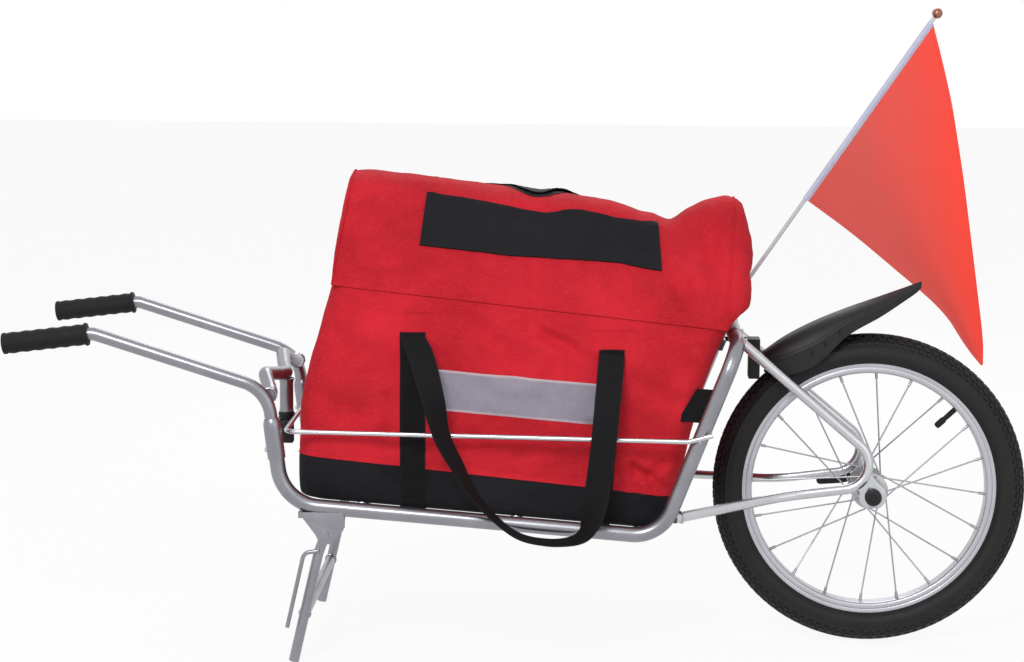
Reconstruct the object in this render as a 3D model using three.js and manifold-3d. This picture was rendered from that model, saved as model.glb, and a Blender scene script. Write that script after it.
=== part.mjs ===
// Single wheel touring trailer: bent-tube frame, handles, stand, laced wheel, mudguard, bag and flag.
// Millimetres, +Z up. The trailer rolls towards -X. "Ahead" is a distance in front of the axle,
// "side" is across (left is negative) and "up" is a height above the floor.

import * as THREE from 'three';
import { mergeVertices } from 'three/addons/utils/BufferGeometryUtils.js';
import Module from 'manifold-3d';

const wasm = await Module();
wasm.setup();

// Clearances
const gap = 0.3;
const overrun = 5;

// Wheel
const tyreRadius = 199;
const tyreWidth = 46;
const tyreWall = 3.2;
const tyreHeight = 39;
const rimOuterRadius = tyreRadius - tyreHeight;
const rimFlangeHeight = 7.5;
const rimDepth = 11;
const beadRadius = rimOuterRadius - rimFlangeHeight;
const rimInnerRadius = rimOuterRadius - rimDepth;
const rimWidth = 25.2;
const rimWellWidth = 14;
const rimFlange = 1.6;
const innerTubeSlack = 3.3;
const innerTubeRadius = tyreWidth / 2 - tyreWall - innerTubeSlack;
const valveStemRadius = 3.4;
const valveCapRadius = 4.2;
const valveReach = 33;
const valveTipRadius = rimInnerRadius - valveReach;
const valveHoleClearance = 0.5;
const spokeRadius = 1.1;
const nippleRadius = 2.1;
const nippleLength = 11;
const spokeHoleRadius = 19.5;
const spokesPerSide = 10;
const spokeTwist = THREE.MathUtils.degToRad(72);
const leftSpokePhase = THREE.MathUtils.degToRad(-15.4);
const rightSpokePhase = THREE.MathUtils.degToRad(2.6);
const valveAngle = THREE.MathUtils.degToRad(46.6);
const flangeRadius = 23;
const flangeOffset = 25;
const flangeThickness = 3;
const hubBarrelRadius = 12.5;
const hubHalfWidth = 36;
const hubCupRadius = 15;
const bearingRadius = 11;
const bearingWidth = 8;
const axleRadius = 5;
const lockNutRadius = 9;
const skewerRadius = 2.4;

// Rails
const railHalfSpacing = 160;
const railRadius = 9.5;
const deckSlope = THREE.MathUtils.degToRad(4.36);
const deckReferenceAhead = 588;
const deckReferenceUp = 188.5;
const postFootAhead = 740;
const postFootUp = 256;
const postLean = THREE.MathUtils.degToRad(7.5);
const postStub = 32;
const frontBend = 54;
const wheelClearance = 51;
const rearPostAhead = tyreRadius + wheelClearance;
const rearPostUp = 211;
const rearPostLean = THREE.MathUtils.degToRad(21.2);
const rearBend = 48;
const topRise = 3;
const topUp = tyreRadius * 2 + topRise;
const topBend = 40;
const topTubeHalfLength = 66;
const floorTubeRadius = 8;
const rearFloorTubeOffset = 44;
const floorTubeAheads = [636, 446, rearPostAhead + rearFloorTubeOffset];

// Rear triangle
const dropoutHalfSpacing = 62;
const dropoutThickness = 4;
const dropoutRadius = 17;
const dropoutArcStart = THREE.MathUtils.degToRad(-28);
const dropoutArc = THREE.MathUtils.degToRad(226);
const dropoutSteps = 12;
const stayRadius = 6.35;
const stayBend = 32;
const stayTopHalfSpacing = 45;
const stayTopBehind = 2.3;
const stayTopDrop = 5;
const stayCornerBehind = 38;
const stayCornerRise = 18;
const stayCornerUp = tyreRadius + stayCornerRise;
const stayFlareAhead = 112;
const stayFlareDrop = 1.5;
const stayFlareUp = tyreRadius - stayFlareDrop;
const stayFlareBend = 90;
const stayEndOffset = 1;
const stayEndAhead = rearPostAhead + stayEndOffset;
const stayEndUp = 186;
const stayEndInset = 7;
const stayEndHalfSpacing = railHalfSpacing - stayEndInset;
const skewerNutRadius = 10.5;
const skewerNutLength = 11;
const skewerNutGroove = 2.2;
const camHousingRadius = 9;
const camHousingLength = 12;
const leverLength = 60;
const leverWidth = 13;
const leverThickness = 3.6;
const leverRootRadius = 4.2;
const leverNeckShare = 0.7;
const leverDroop = THREE.MathUtils.degToRad(7.6);

// Handles
const sleeveRadius = 11;
const sleeveLength = 50;
const handleRadius = 8;
const handleCornerUp = 341;
const handleBend = 48;
const gripCornerAhead = 965;
const gripCornerUp = 408;
const gripBend = 27;
const gripDroop = THREE.MathUtils.degToRad(7.1);
const gripLength = 106;
const gripRadius = 13.2;
const gripWave = 0.9;
const gripWaves = 6;
const gripEndWall = 3;
const gripLipLength = 4;
const handleEndReach = 112;
const yokeRadius = 8.6;
const yokeStartUp = 333;
const yokeBulge = 13;
const yokeRise = 18;
const yokeBend = 24;
const yokeReachShares = [0.86, 0.6, 0.2];
const headTubeAhead = 747;
const headTubeRadius = 9.2;
const headTubeTopUp = 330;
const headTubeBottomUp = 288;
const headTubeBoreRadius = 6.5;
const collarRadius = 10.5;
const collarHeight = 9;
const hitchBlockWidth = 19;
const hitchBlockLength = 17;
const hitchBlockHeight = 30;
const hitchStemRadius = 6;
const hitchStemLength = 26;
const knobRadius = 6.4;
const knobLength = 9;
const knobWasherRadius = 4.2;
const knobWasherLength = 1.6;
const buttonRadius = 3;
const buttonTravel = 2.5;
const buttonProud = 2.6;
const buttonShank = 6;
const buttonUp = 268;

// Bag hoop
const hoopRadius = 3;
const hoopFrontInset = 3;
const hoopFrontUp = 289;
const hoopRearUp = 285;
const hoopCornerBend = 16;
const hoopHookRise = 8;
const hoopHookRun = 30;
const hoopHookBend = 6;

// Stand
const standPivotAhead = 680;
const standPivotUp = 163;
const legRadius = 6.35;
const footAhead = 720;
const crossBarUp = 60;
const crossBarRadius = 6.35;
const kickRodRadius = 2.6;
const kickRodTopAhead = 687;
const kickRodTopUp = 143;
const kickRodKneeAhead = 706;
const kickRodKneeUp = 140;
const kickRodTipAhead = 727;
const kickRodTipUp = 46;
const kickRodBend = 10;

// Mudguard
const guardClearance = 23.3;
const guardFrontTurn = THREE.MathUtils.degToRad(3.1);
const guardLength = 198;
const guardRise = 91;
const guardHalfWidth = 33;
const guardSkirt = 62;
const guardWall = 2.4;
const tongueLength = 52;
const tongueThickness = 14;

// Bag
const bagInset = 17;
const bagHalfWidth = railHalfSpacing - bagInset;
const bagWall = 3;
const bagCorner = 26;
const bagFrontAhead = 716;
const bagRearOffset = 12;
const bagRearAhead = rearPostAhead + bagRearOffset;
const trayFrontUp = 259;
const trayRearUp = 212;
const trayRearAhead = rearPostAhead;
const waistFrontAhead = 711;
const waistFrontUp = 335;
const waistRearBehind = 32;
const waistRearAhead = rearPostAhead - waistRearBehind;
const waistRearUp = 345;
const seamFrontAhead = 675;
const seamFrontUp = 468;
const seamRearBehind = 61;
const seamRearAhead = rearPostAhead - seamRearBehind;
const seamRearUp = 417;
const lidHeight = 150;
const windowThickness = 1.6;
const windowSeat = 0.8;
const rearWebbingOffset = 80;
const rearWebbingAhead = rearPostAhead + rearWebbingOffset;
const stripHeight = 50;
const stripThickness = 0.8;
const stripFrontAhead = 531;
const stripRearOffset = 24;
const stripRearAhead = rearWebbingAhead + stripRearOffset;
const stripFrontUp = 341;
const stripRearUp = 325;
const webbingWidth = 31;
const webbingThickness = 1.6;
const frontWebbingAhead = 574;
const frontWebbingUp = 412;
const rearWebbingUp = 393;
const rearWebbingLean = 16;
const webbingSag = 0.5;
const loopOffset = 28.5;
const loopSide = railHalfSpacing + loopOffset;
const loopFrontTopUp = 408;
const loopRearTopUp = 388;
const loopRearAhead = rearWebbingAhead;
const loopDrop = 243;
const loopTwist = THREE.MathUtils.degToRad(90);
const ribbonBack = 2;
const loopShares = [
  [0, 0, 0, 0],
  [0.049, 0.111, 0.35, 0.05],
  [0.119, 0.311, 1, 0.12],
  [0.189, 0.552, 1, 0.5],
  [0.305, 0.782, 1, 0.85],
  [0.461, 0.95, 1, 0.83],
  [0.654, 1, 0.9, 0.72],
  [0.831, 0.92, 0.95, 0.5],
  [0.938, 0.716, 1, 0.2],
  [0.971, 0.406, 1, 0.08],
  [0.988, 0.157, 0.4, 0.03],
  [1, 0, 0, 0],
];
const tieLength = 48;
const tieWidth = 15;

// Flag
const poleRadius = 2.8;
const poleOffset = 13;
const poleSide = railHalfSpacing + poleOffset;
const poleFootOffset = 13.8;
const poleFootDrop = 39;
const poleTopBehind = 89;
const poleTopUp = 794;
const ballRadius = 7;
const clipWall = 3.4;
const clipLength = 34;
const clipRingHeight = 14;
const hoistLength = 284;
const hoistTopGap = 7.2;
const hemRadius = 5.4;
const tailBehind = 167;
const tailUp = 330;
const foreEdgeBow = 20;
const rearEdgeBow = 11;
const clothThickness = 1.2;
const clothWave = 5;

// Smaller sizes of the hitch, stand, mudguard, wheel and lever
const knobHeightShare = 0.25;
const knobStemRadius = 2;
const knobStemLength = 6;
const knobRounding = 2;
const bracketWall = 2.5;
const bracketRadius = 12;
const bracketFrontAhead = 713;
const bracketRearAhead = 657;
const eyeWidth = 12.7;
const eyeRadius = 8.5;
const pivotBoltRadius = 3;
const boltHeadRadius = 5.2;
const boltHeadLength = 3;
const legKneeAhead = 689;
const legKneeUp = 138;
const legBend = 40;
const footEndUp = legRadius * Math.sin(Math.atan2(footAhead - legKneeAhead, legKneeUp));
const guardShares = [
  [0, 0, 0.4, 0.6],
  [0.14, 0.22, 0.78, 0.9],
  [0.33, 0.44, 0.87, 1],
  [0.52, 0.6, 0.6, 0.95],
  [0.74, 0.77, 0.53, 0.75],
  [0.9, 0.9, 0.37, 0.42],
  [1, 1, 0.08, 0.1],
];
const guardSectionShares = [
  [-1, 1], [-0.97, 0.55], [-0.72, 0.2], [0, 0], [0.72, 0.2], [0.97, 0.55], [1, 1],
];
const tongueBehind = 20.3;
const tongueWidth = 30;
const saddleWidth = 30;
const saddleThickness = 4;
const armHalfWidth = 8;
const armThickness = 5;
const armReach = 12;
const armDrop = 3.4;
const beadThickness = 2.8;
const tyreArcHalf = THREE.MathUtils.degToRad(118);
const tyreArcSteps = 5;
const tubeSteps = 10;
const spokeElbow = 1.2;
const spokeRimOffset = 2;
const nippleHead = 1.5;
const valveCapLength = 14;
const valveTipShare = 0.6;
const skewerNutWall = 3;
const camPostRadius = 4;
const camPostLength = 2;
const leverSteps = 6;
const leverTipShare = 0.75;
const bagCornerSteps = 4;
const trayEdge = 10;
const lidSectionShares = [[1, 0], [0.93, 0.2], [0.3, 0.91], [0.19, 0.965], [0.09, 0.99], [0, 1]];
const lidStationShares = [
  [0, 0.87, 0.1, 0.97],
  [0.05, 0.9, 0.1, 1],
  [0.2, 0.9, 0.07, 1],
  [0.47, 0.89, 0.02, 1],
  [0.7, 0.88, 0, 1],
  [0.8, 0.81, -0.02, 1],
  [0.86, 0.79, -0.02, 1],
  [0.93, 0.93, 0.02, 1],
  [0.98, 1.02, 0.06, 1],
  [1, 1, 0.1, 0.98],
];
const lidEndShares = [
  [0.1, 0.02, 0.95, 0.05, 0.93],
  [0.17, 0.01, 0.86, 0.12, 0.84],
  [0.2, 0, 0.7, 0.22, 0.7],
];
const windowFrontShare = 0.21;
const windowRearShare = 0.83;
const windowLowShare = 0.37;
const windowHighShare = 0.98;
const tieDrop = 55;
const tieHeight = 41;
const tieTopUp = topUp - tieDrop;
const tieFootUp = tieTopUp - tieHeight;
const tieFrontBehind = 4;
const tieFrontAhead = rearPostAhead - tieFrontBehind;
const clothRows = 10;
const clothColumns = 16;
const clothFolds = 2.5;
const clothEndShare = 0.96;

// Resolution of round work
const railSides = 10;
const rodSides = 8;
const spokeSides = 6;
const bendStep = THREE.MathUtils.degToRad(23);
const wheelSides = 40;
const turnedSides = 16;

const steel = new THREE.MeshStandardMaterial({ color: 0xb4b5b8, roughness: 0.32, metalness: 0.95 });
const aluminium = new THREE.MeshStandardMaterial({ color: 0xc8c9cc, roughness: 0.3, metalness: 0.9 });
const blackPlastic = new THREE.MeshStandardMaterial({ color: 0x1b1c1e, roughness: 0.55, metalness: 0 });
const blackRubber = new THREE.MeshStandardMaterial({ color: 0x161617, roughness: 0.8, metalness: 0 });
const redFabric = new THREE.MeshStandardMaterial({ color: 0xc8232d, roughness: 0.85, metalness: 0 });
const blackFabric = new THREE.MeshStandardMaterial({ color: 0x232428, roughness: 0.85, metalness: 0 });
const greyReflector = new THREE.MeshStandardMaterial({ color: 0x9a9aa2, roughness: 0.5, metalness: 0.1 });
const orangeCloth = new THREE.MeshStandardMaterial({ color: 0xeb4b3c, roughness: 0.8, metalness: 0 });
const whiteFibre = new THREE.MeshStandardMaterial({ color: 0xe6e7ea, roughness: 0.5, metalness: 0 });
const copperBrown = new THREE.MeshStandardMaterial({ color: 0x8a4a34, roughness: 0.4, metalness: 0.3 });

const sides = [['left', -1], ['right', 1]];
const yAxis = new THREE.Vector3(0, 1, 0);

// A place in the trailer's own terms
function at(ahead, side, up) {
  return new THREE.Vector3(-ahead, side, up);
}

// The same place on the other side of the trailer
function acrossFrom(point) {
  return new THREE.Vector3(point.x, -point.y, point.z);
}

// Height of the rails' bottom run at a distance ahead of the axle
function deckUp(ahead) {
  return deckReferenceUp + (ahead - deckReferenceAhead) * Math.tan(deckSlope);
}

// The front post's axis at a height
function postAhead(up) {
  return postFootAhead + (up - postFootUp) * Math.tan(postLean);
}

// The rear post's axis at a height
function rearPostAheadAt(up) {
  return rearPostAhead - (up - rearPostUp) * Math.tan(rearPostLean);
}

// A route made as a tube is bent: straight runs, and an arc at each corner
class BentRoute extends THREE.Curve {
  constructor(corners, radii) {
    super();
    this.stations = [];
    this.bendEnds = [];
    const last = corners.length - 1;
    let heading = corners[1].clone().sub(corners[0]).normalize();
    this.stations.push({ point: corners[0].clone(), heading: heading.clone() });
    for (let i = 1; i < last; i += 1) {
      const radius = Array.isArray(radii) ? radii[i - 1] : radii;
      const next = corners[i + 1].clone().sub(corners[i]).normalize();
      const turn = heading.angleTo(next);
      const inward = next.clone().addScaledVector(heading, -next.dot(heading)).normalize();
      const start = corners[i].clone().addScaledVector(heading, -radius * Math.tan(turn / 2));
      const count = Math.max(2, Math.ceil(turn / bendStep));
      for (let k = 0; k <= count; k += 1) {
        const angle = (turn * k) / count;
        const point = start.clone();
        point.addScaledVector(heading, radius * Math.sin(angle));
        point.addScaledVector(inward, radius * (1 - Math.cos(angle)));
        const direction = heading.clone().multiplyScalar(Math.cos(angle));
        direction.addScaledVector(inward, Math.sin(angle));
        this.stations.push({ point, heading: direction.normalize() });
      }
      heading = next;
      this.bendEnds.push(this.stations.length - 1);
    }
    this.stations.push({ point: corners[last].clone(), heading: heading.clone() });
  }

  get steps() {
    return this.stations.length - 1;
  }

  getPointAt(share) {
    return this.stations[Math.round(share * this.steps)].point.clone();
  }

  getTangentAt(share) {
    return this.stations[Math.round(share * this.steps)].heading.clone();
  }
}

function roundSection(radius, count) {
  const points = [];
  for (let i = 0; i < count; i += 1) {
    const turn = (i / count) * 2 * Math.PI;
    points.push(new THREE.Vector2(radius * Math.cos(turn), radius * Math.sin(turn)));
  }
  return new THREE.Shape(points);
}

// A round bar or tube along a bent route
function bentTube(corners, radii, radius, count = railSides) {
  const route = new BentRoute(corners, radii);
  const options = { steps: route.steps, bevelEnabled: false, extrudePath: route };
  return new THREE.ExtrudeGeometry(roundSection(radius, count), options);
}

function straightTube(from, to, radius, count = railSides) {
  return bentTube([from, to], 0, radius, count);
}

// A profile of [radius, distance] pairs turned about a line
function turned(profile, from, direction, count = turnedSides) {
  const points = profile.map(([radius, distance]) => new THREE.Vector2(radius, distance));
  const geometry = new THREE.LatheGeometry(points, count);
  geometry.applyQuaternion(new THREE.Quaternion().setFromUnitVectors(yAxis, direction.clone().normalize()));
  return geometry.translate(from.x, from.y, from.z);
}

// A plain rod or disc as a closed profile on its axis
function rodProfile(radius, start, end) {
  return [[0, start], [radius, start], [radius, end], [0, end]];
}

// A flat plate in a fore-and-aft plane, from an outline of [ahead, up] pairs
function sidePlate(outline, side, thickness) {
  const shape = new THREE.Shape(outline.map(([ahead, up]) => new THREE.Vector2(-ahead, up)));
  const geometry = new THREE.ExtrudeGeometry(shape, { depth: thickness, bevelEnabled: false });
  geometry.rotateX(Math.PI / 2);
  return geometry.translate(0, side + thickness / 2, 0);
}

// Rings of equal count joined in order, with the ends capped or the last joined to the first.
// The sides named as turned are split along the other diagonal.
function loft(rings, looped = false, turnedSides = []) {
  const count = rings[0].length;
  const positions = rings.flat().flatMap((point) => [point.x, point.y, point.z]);
  const indices = [];
  const spans = looped ? rings.length : rings.length - 1;
  for (let r = 0; r < spans; r += 1) {
    const low = r * count;
    const high = ((r + 1) % rings.length) * count;
    for (let i = 0; i < count; i += 1) {
      const j = (i + 1) % count;
      if (turnedSides.includes(i)) {
        indices.push(low + i, low + j, high + i, low + j, high + j, high + i);
      } else {
        indices.push(low + i, low + j, high + j, low + i, high + j, high + i);
      }
    }
  }
  if (!looped) {
    capRing(0, count, true, indices);
    capRing((rings.length - 1) * count, count, false, indices);
  }
  const geometry = new THREE.BufferGeometry();
  geometry.setAttribute('position', new THREE.Float32BufferAttribute(positions, 3));
  geometry.setIndex(indices);
  return geometry;
}

// A strip across a ring, from its first and last points inwards
function capRing(first, count, reversed, indices) {
  for (let i = 0, j = count - 1; j - i > 1; i += 1, j -= 1) {
    const faces = j - i > 2 ? [[i, i + 1, j], [i + 1, j - 1, j]] : [[i, i + 1, j]];
    for (const face of faces) {
      const corners = reversed ? face.slice().reverse() : face;
      indices.push(...corners.map((corner) => first + corner));
    }
  }
}

// A closed mesh as a solid, with its faces turned outwards
function solid(geometry) {
  const bare = new THREE.BufferGeometry();
  bare.setAttribute('position', geometry.attributes.position.clone());
  if (geometry.index) bare.setIndex(geometry.index.clone());
  const merged = mergeVertices(bare);
  const vertices = merged.attributes.position;
  const corner = [new THREE.Vector3(), new THREE.Vector3(), new THREE.Vector3()];
  const kept = [];
  let volume = 0;
  for (let i = 0; i < merged.index.count; i += 3) {
    const face = [0, 1, 2].map((k) => merged.index.getX(i + k));
    if (new Set(face).size < 3) continue;
    face.forEach((vertex, k) => corner[k].fromBufferAttribute(vertices, vertex));
    volume += corner[0].dot(corner[1].clone().cross(corner[2]));
    kept.push(face);
  }
  const faces = volume < 0 ? kept.map(([a, b, c]) => [a, c, b]) : kept;
  const mesh = new wasm.Mesh({
    numProp: 3,
    vertProperties: new Float32Array(vertices.array),
    triVerts: new Uint32Array(faces.flat()),
  });
  return new wasm.Manifold(mesh);
}

function join(...shapes) {
  return shapes.map((shape) => asSolid(shape)).reduce((whole, shape) => whole.add(shape));
}

function cut(shape, ...tools) {
  return tools.reduce((whole, tool) => whole.subtract(asSolid(tool)), asSolid(shape));
}

function asSolid(shape) {
  return shape.isBufferGeometry ? solid(shape) : shape;
}

// A solid as a mesh geometry for the scene
function geometryOf(shape) {
  const mesh = asSolid(shape).getMesh();
  const geometry = new THREE.BufferGeometry();
  geometry.setAttribute('position', new THREE.Float32BufferAttribute(mesh.vertProperties, 3));
  geometry.setIndex(Array.from(mesh.triVerts));
  geometry.computeVertexNormals();
  return geometry;
}

function piece(parent, name, shape, material) {
  const mesh = new THREE.Mesh(geometryOf(shape), material);
  mesh.name = name;
  parent.add(mesh);
  return mesh;
}

function box(low, high) {
  const size = high.clone().sub(low);
  const middle = low.clone().add(high).multiplyScalar(0.5);
  const geometry = new THREE.BoxGeometry(Math.abs(size.x), Math.abs(size.y), Math.abs(size.z));
  return geometry.translate(middle.x, middle.y, middle.z);
}

// Frame: two bent rails, the tubes across them, and the coped seats that other pieces need
function railRoute(side) {
  const y = side * railHalfSpacing;
  const stubTop = postFootUp + postStub;
  const frontCornerAhead = postAhead(deckUp(postFootAhead));
  const rise = Math.tan(deckSlope) + 1 / Math.tan(rearPostLean);
  const offset = rearPostUp - deckUp(rearPostAhead);
  const rearCornerAhead = rearPostAhead + offset / rise;
  return [
    at(postAhead(stubTop), y, stubTop),
    at(frontCornerAhead, y, deckUp(frontCornerAhead)),
    at(rearCornerAhead, y, deckUp(rearCornerAhead)),
    at(rearPostAheadAt(topUp), y, topUp),
    at(rearPostAheadAt(topUp), side * topTubeHalfLength, topUp),
  ];
}

function railTube(side, radius) {
  return bentTube(railRoute(side), [frontBend, rearBend, topBend], radius);
}

function makeFrame(parent) {
  for (const [name, side] of sides) {
    const bore = turned(
      rodProfile(buttonRadius + gap, -buttonShank - buttonTravel - gap, sleeveRadius * 2),
      at(postAhead(buttonUp), side * railHalfSpacing, buttonUp),
      buttonDirection(),
    );
    piece(parent, `${name}_rail`, cut(railTube(side, railRadius), bore), steel);
  }
  const topEnd = topTubeHalfLength - gap;
  const topAhead = rearPostAheadAt(topUp);
  const topTube = straightTube(at(topAhead, -topEnd, topUp), at(topAhead, topEnd, topUp), railRadius);
  piece(parent, 'top_cross_tube', topTube, steel);
  const fatRails = join(railTube(-1, railRadius + gap), railTube(1, railRadius + gap));
  floorTubeAheads.forEach((ahead, i) => {
    const up = deckUp(ahead);
    const left = at(ahead, -railHalfSpacing, up);
    const right = at(ahead, railHalfSpacing, up);
    const tube = cut(straightTube(left, right, floorTubeRadius), fatRails);
    piece(parent, `floor_tube_${i + 1}`, tube, steel);
  });
}

// The line that a snap button travels on, square to the post and pointing ahead
function buttonDirection() {
  return at(Math.cos(postLean), 0, -Math.sin(postLean));
}

// Stays: a hairpin from the top tube to the axle and forward to the rail's rear corner
function stayRoute(side) {
  const topAhead = rearPostAheadAt(topUp);
  const corners = [
    at(topAhead - stayTopBehind, side * stayTopHalfSpacing, topUp - stayTopDrop),
    at(-stayCornerBehind, side * dropoutHalfSpacing, stayCornerUp),
    at(stayFlareAhead, side * dropoutHalfSpacing, stayFlareUp),
    at(stayEndAhead, side * stayEndHalfSpacing, stayEndUp),
  ];
  return [corners, [stayBend, stayFlareBend]];
}

function stayTube(side, radius) {
  const [corners, radii] = stayRoute(side);
  return bentTube(corners, radii, radius);
}

// A plate from the hairpin's bend, round below the axle
function dropoutOutline() {
  const points = [];
  for (let i = 0; i <= dropoutSteps; i += 1) {
    const angle = dropoutArcStart + (dropoutArc * i) / dropoutSteps;
    points.push([-dropoutRadius * Math.cos(angle), tyreRadius - dropoutRadius * Math.sin(angle)]);
  }
  const route = new BentRoute(...stayRoute(1));
  const last = route.bendEnds[0];
  for (const station of route.stations.slice(last - 3, last).reverse()) {
    points.push([-station.point.x, station.point.z]);
  }
  return points;
}

function makeRearTriangle(parent) {
  const topAhead = rearPostAheadAt(topUp);
  const across = railHalfSpacing;
  const fatTop = straightTube(at(topAhead, -across, topUp), at(topAhead, across, topUp), railRadius + gap);
  for (const [name, side] of sides) {
    const stay = cut(stayTube(side, stayRadius), fatTop, railTube(side, railRadius + gap));
    piece(parent, `${name}_stay`, stay, steel);
    const y = side * dropoutHalfSpacing;
    const slotHalf = axleRadius + gap;
    const slot = box(
      at(slotHalf, y - dropoutThickness, tyreRadius - dropoutRadius - overrun),
      at(-slotHalf, y + dropoutThickness, tyreRadius),
    );
    const seat = turned(
      rodProfile(slotHalf, -dropoutThickness, dropoutThickness),
      at(0, y, tyreRadius),
      yAxis,
    );
    const plate = sidePlate(dropoutOutline(), y, dropoutThickness);
    piece(parent, `${name}_dropout`, cut(plate, stayTube(side, stayRadius + gap), slot, seat), steel);
  }
}

// Handles: one bent tube each side, swaged sleeve over the post, and the yoke that joins the pair
function gripDirection() {
  return at(Math.cos(gripDroop), 0, -Math.sin(gripDroop));
}

function handleTube(side, radius) {
  const y = side * railHalfSpacing;
  const bottom = postFootUp + postStub + gap;
  const corner = at(gripCornerAhead, y, gripCornerUp);
  const end = corner.clone().addScaledVector(gripDirection(), handleEndReach - gripEndWall);
  const corners = [
    at(postAhead(bottom), y, bottom),
    at(postAhead(handleCornerUp), y, handleCornerUp),
    at(gripCornerAhead, y, gripCornerUp),
    end,
  ];
  return bentTube(corners, [handleBend, gripBend], radius);
}

function sleeve(side) {
  const direction = at(Math.sin(postLean), 0, Math.cos(postLean));
  const lowBore = railRadius + gap;
  const highBore = handleRadius + gap;
  const step = postStub / Math.cos(postLean) + gap / 2;
  const profile = [
    [lowBore, 0], [sleeveRadius, 0], [sleeveRadius, sleeveLength],
    [highBore, sleeveLength], [highBore, step], [lowBore, step], [lowBore, 0],
  ];
  const foot = at(postFootAhead, side * railHalfSpacing, postFootUp);
  const hole = turned(
    rodProfile(buttonRadius + gap, 0, sleeveRadius * 2),
    at(postAhead(buttonUp), side * railHalfSpacing, buttonUp),
    buttonDirection(),
  );
  return cut(turned(profile, foot, direction), hole);
}

function grip(side) {
  const start = handleEndReach - gripLength;
  const bore = handleRadius + gap;
  const profile = [[bore, 0]];
  const perWave = 2;
  const waved = gripLength - gripLipLength * 2;
  profile.push([gripRadius + gripWave, 0], [gripRadius + gripWave, gripLipLength]);
  for (let i = 0; i <= gripWaves * perWave; i += 1) {
    const share = i / (gripWaves * perWave);
    const swell = (1 + Math.cos(share * gripWaves * 2 * Math.PI)) / 2;
    const radius = gripRadius - gripWave * swell;
    profile.push([radius, gripLipLength + waved * share]);
  }
  profile.push([gripRadius, gripLength - gripLipLength / 2], [gripRadius - gripWave * 2, gripLength]);
  const boreEnd = gripLength - gripEndWall + gap;
  profile.push([0, gripLength], [0, boreEnd], [bore, boreEnd]);
  profile.push([bore, 0]);
  const from = at(gripCornerAhead, side * railHalfSpacing, gripCornerUp);
  from.addScaledVector(gripDirection(), start);
  return turned(profile, from, gripDirection());
}

function yoke(radius) {
  const reach = railHalfSpacing - handleRadius;
  const [endShare, riseShare, middleShare] = yokeReachShares;
  const ahead = postAhead(yokeStartUp);
  const corners = [
    at(ahead, -railHalfSpacing, yokeStartUp),
    at(ahead, -reach * endShare, yokeStartUp),
    at(ahead + yokeBulge, -reach * riseShare, yokeStartUp + yokeRise),
    at(headTubeAhead + yokeBulge / 2, -reach * middleShare, yokeStartUp + yokeRise / 2),
    at(headTubeAhead, 0, headTubeTopUp + yokeRadius),
  ];
  const mirrored = corners.slice(0, -1).reverse().map(acrossFrom);
  return bentTube([...corners, ...mirrored], yokeBend, radius);
}

function makeHandles(parent) {
  for (const [name, side] of sides) {
    piece(parent, `${name}_handle_tube`, handleTube(side, handleRadius), steel);
    piece(parent, `${name}_sleeve`, sleeve(side), steel);
    piece(parent, `${name}_grip`, grip(side), blackRubber);
  }
}

// Hitch: head tube under the yoke, a collar, and the block that swivels and its clamp knob
function hitchHeights() {
  const tubeBottom = headTubeBottomUp;
  const collarTop = tubeBottom - gap;
  const collarBottom = collarTop - collarHeight;
  const blockTop = collarBottom - gap;
  return { tubeBottom, collarTop, collarBottom, blockTop, blockBottom: blockTop - hitchBlockHeight };
}

function ringBetween(outer, inner, low, high, from, direction, count = turnedSides) {
  const profile = [[inner, low], [outer, low], [outer, high], [inner, high], [inner, low]];
  return turned(profile, from, direction, count);
}

function makeHitch(parent) {
  const heights = hitchHeights();
  const foot = at(headTubeAhead, 0, 0);
  const up = new THREE.Vector3(0, 0, 1);
  const shell = ringBetween(
    headTubeRadius, headTubeBoreRadius, heights.tubeBottom, headTubeTopUp, foot, up,
  );
  piece(parent, 'head_tube', cut(shell, yoke(yokeRadius + gap)), steel);
  const handles = join(handleTube(-1, handleRadius + gap), handleTube(1, handleRadius + gap));
  piece(parent, 'yoke', cut(yoke(yokeRadius), handles), steel);
  const collar = ringBetween(
    collarRadius, hitchStemRadius + gap, heights.collarBottom, heights.collarTop, foot, up,
  );
  piece(parent, 'head_collar', collar, blackPlastic);
  const block = box(
    at(headTubeAhead + hitchBlockLength / 2, -hitchBlockWidth / 2, heights.blockBottom),
    at(headTubeAhead - hitchBlockLength / 2, hitchBlockWidth / 2, heights.blockTop),
  );
  const stemTop = heights.tubeBottom + hitchStemLength;
  const stemProfile = rodProfile(hitchStemRadius, heights.blockTop - overrun, stemTop);
  const stem = turned(stemProfile, foot, up);
  const knobUp = heights.blockTop - hitchBlockHeight * knobHeightShare;
  const knobCentre = at(headTubeAhead, -hitchBlockWidth / 2, knobUp);
  const left = new THREE.Vector3(0, -1, 0);
  const socket = turned(rodProfile(knobStemRadius + gap, -knobStemLength - gap, overrun), knobCentre, left);
  piece(parent, 'hitch_block', cut(join(block, stem), socket), blackPlastic);
  const washerEnd = gap + knobWasherLength;
  const knobProfile = [
    [0, -knobStemLength], [knobStemRadius, -knobStemLength], [knobStemRadius, gap],
    [knobWasherRadius, gap], [knobWasherRadius, washerEnd], [knobRadius, washerEnd],
    [knobRadius, washerEnd + knobLength - knobRounding],
    [knobRadius - knobRounding, washerEnd + knobLength],
    [0, washerEnd + knobLength],
  ];
  piece(parent, 'hitch_knob', turned(knobProfile, knobCentre, left), blackPlastic);
}

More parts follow.
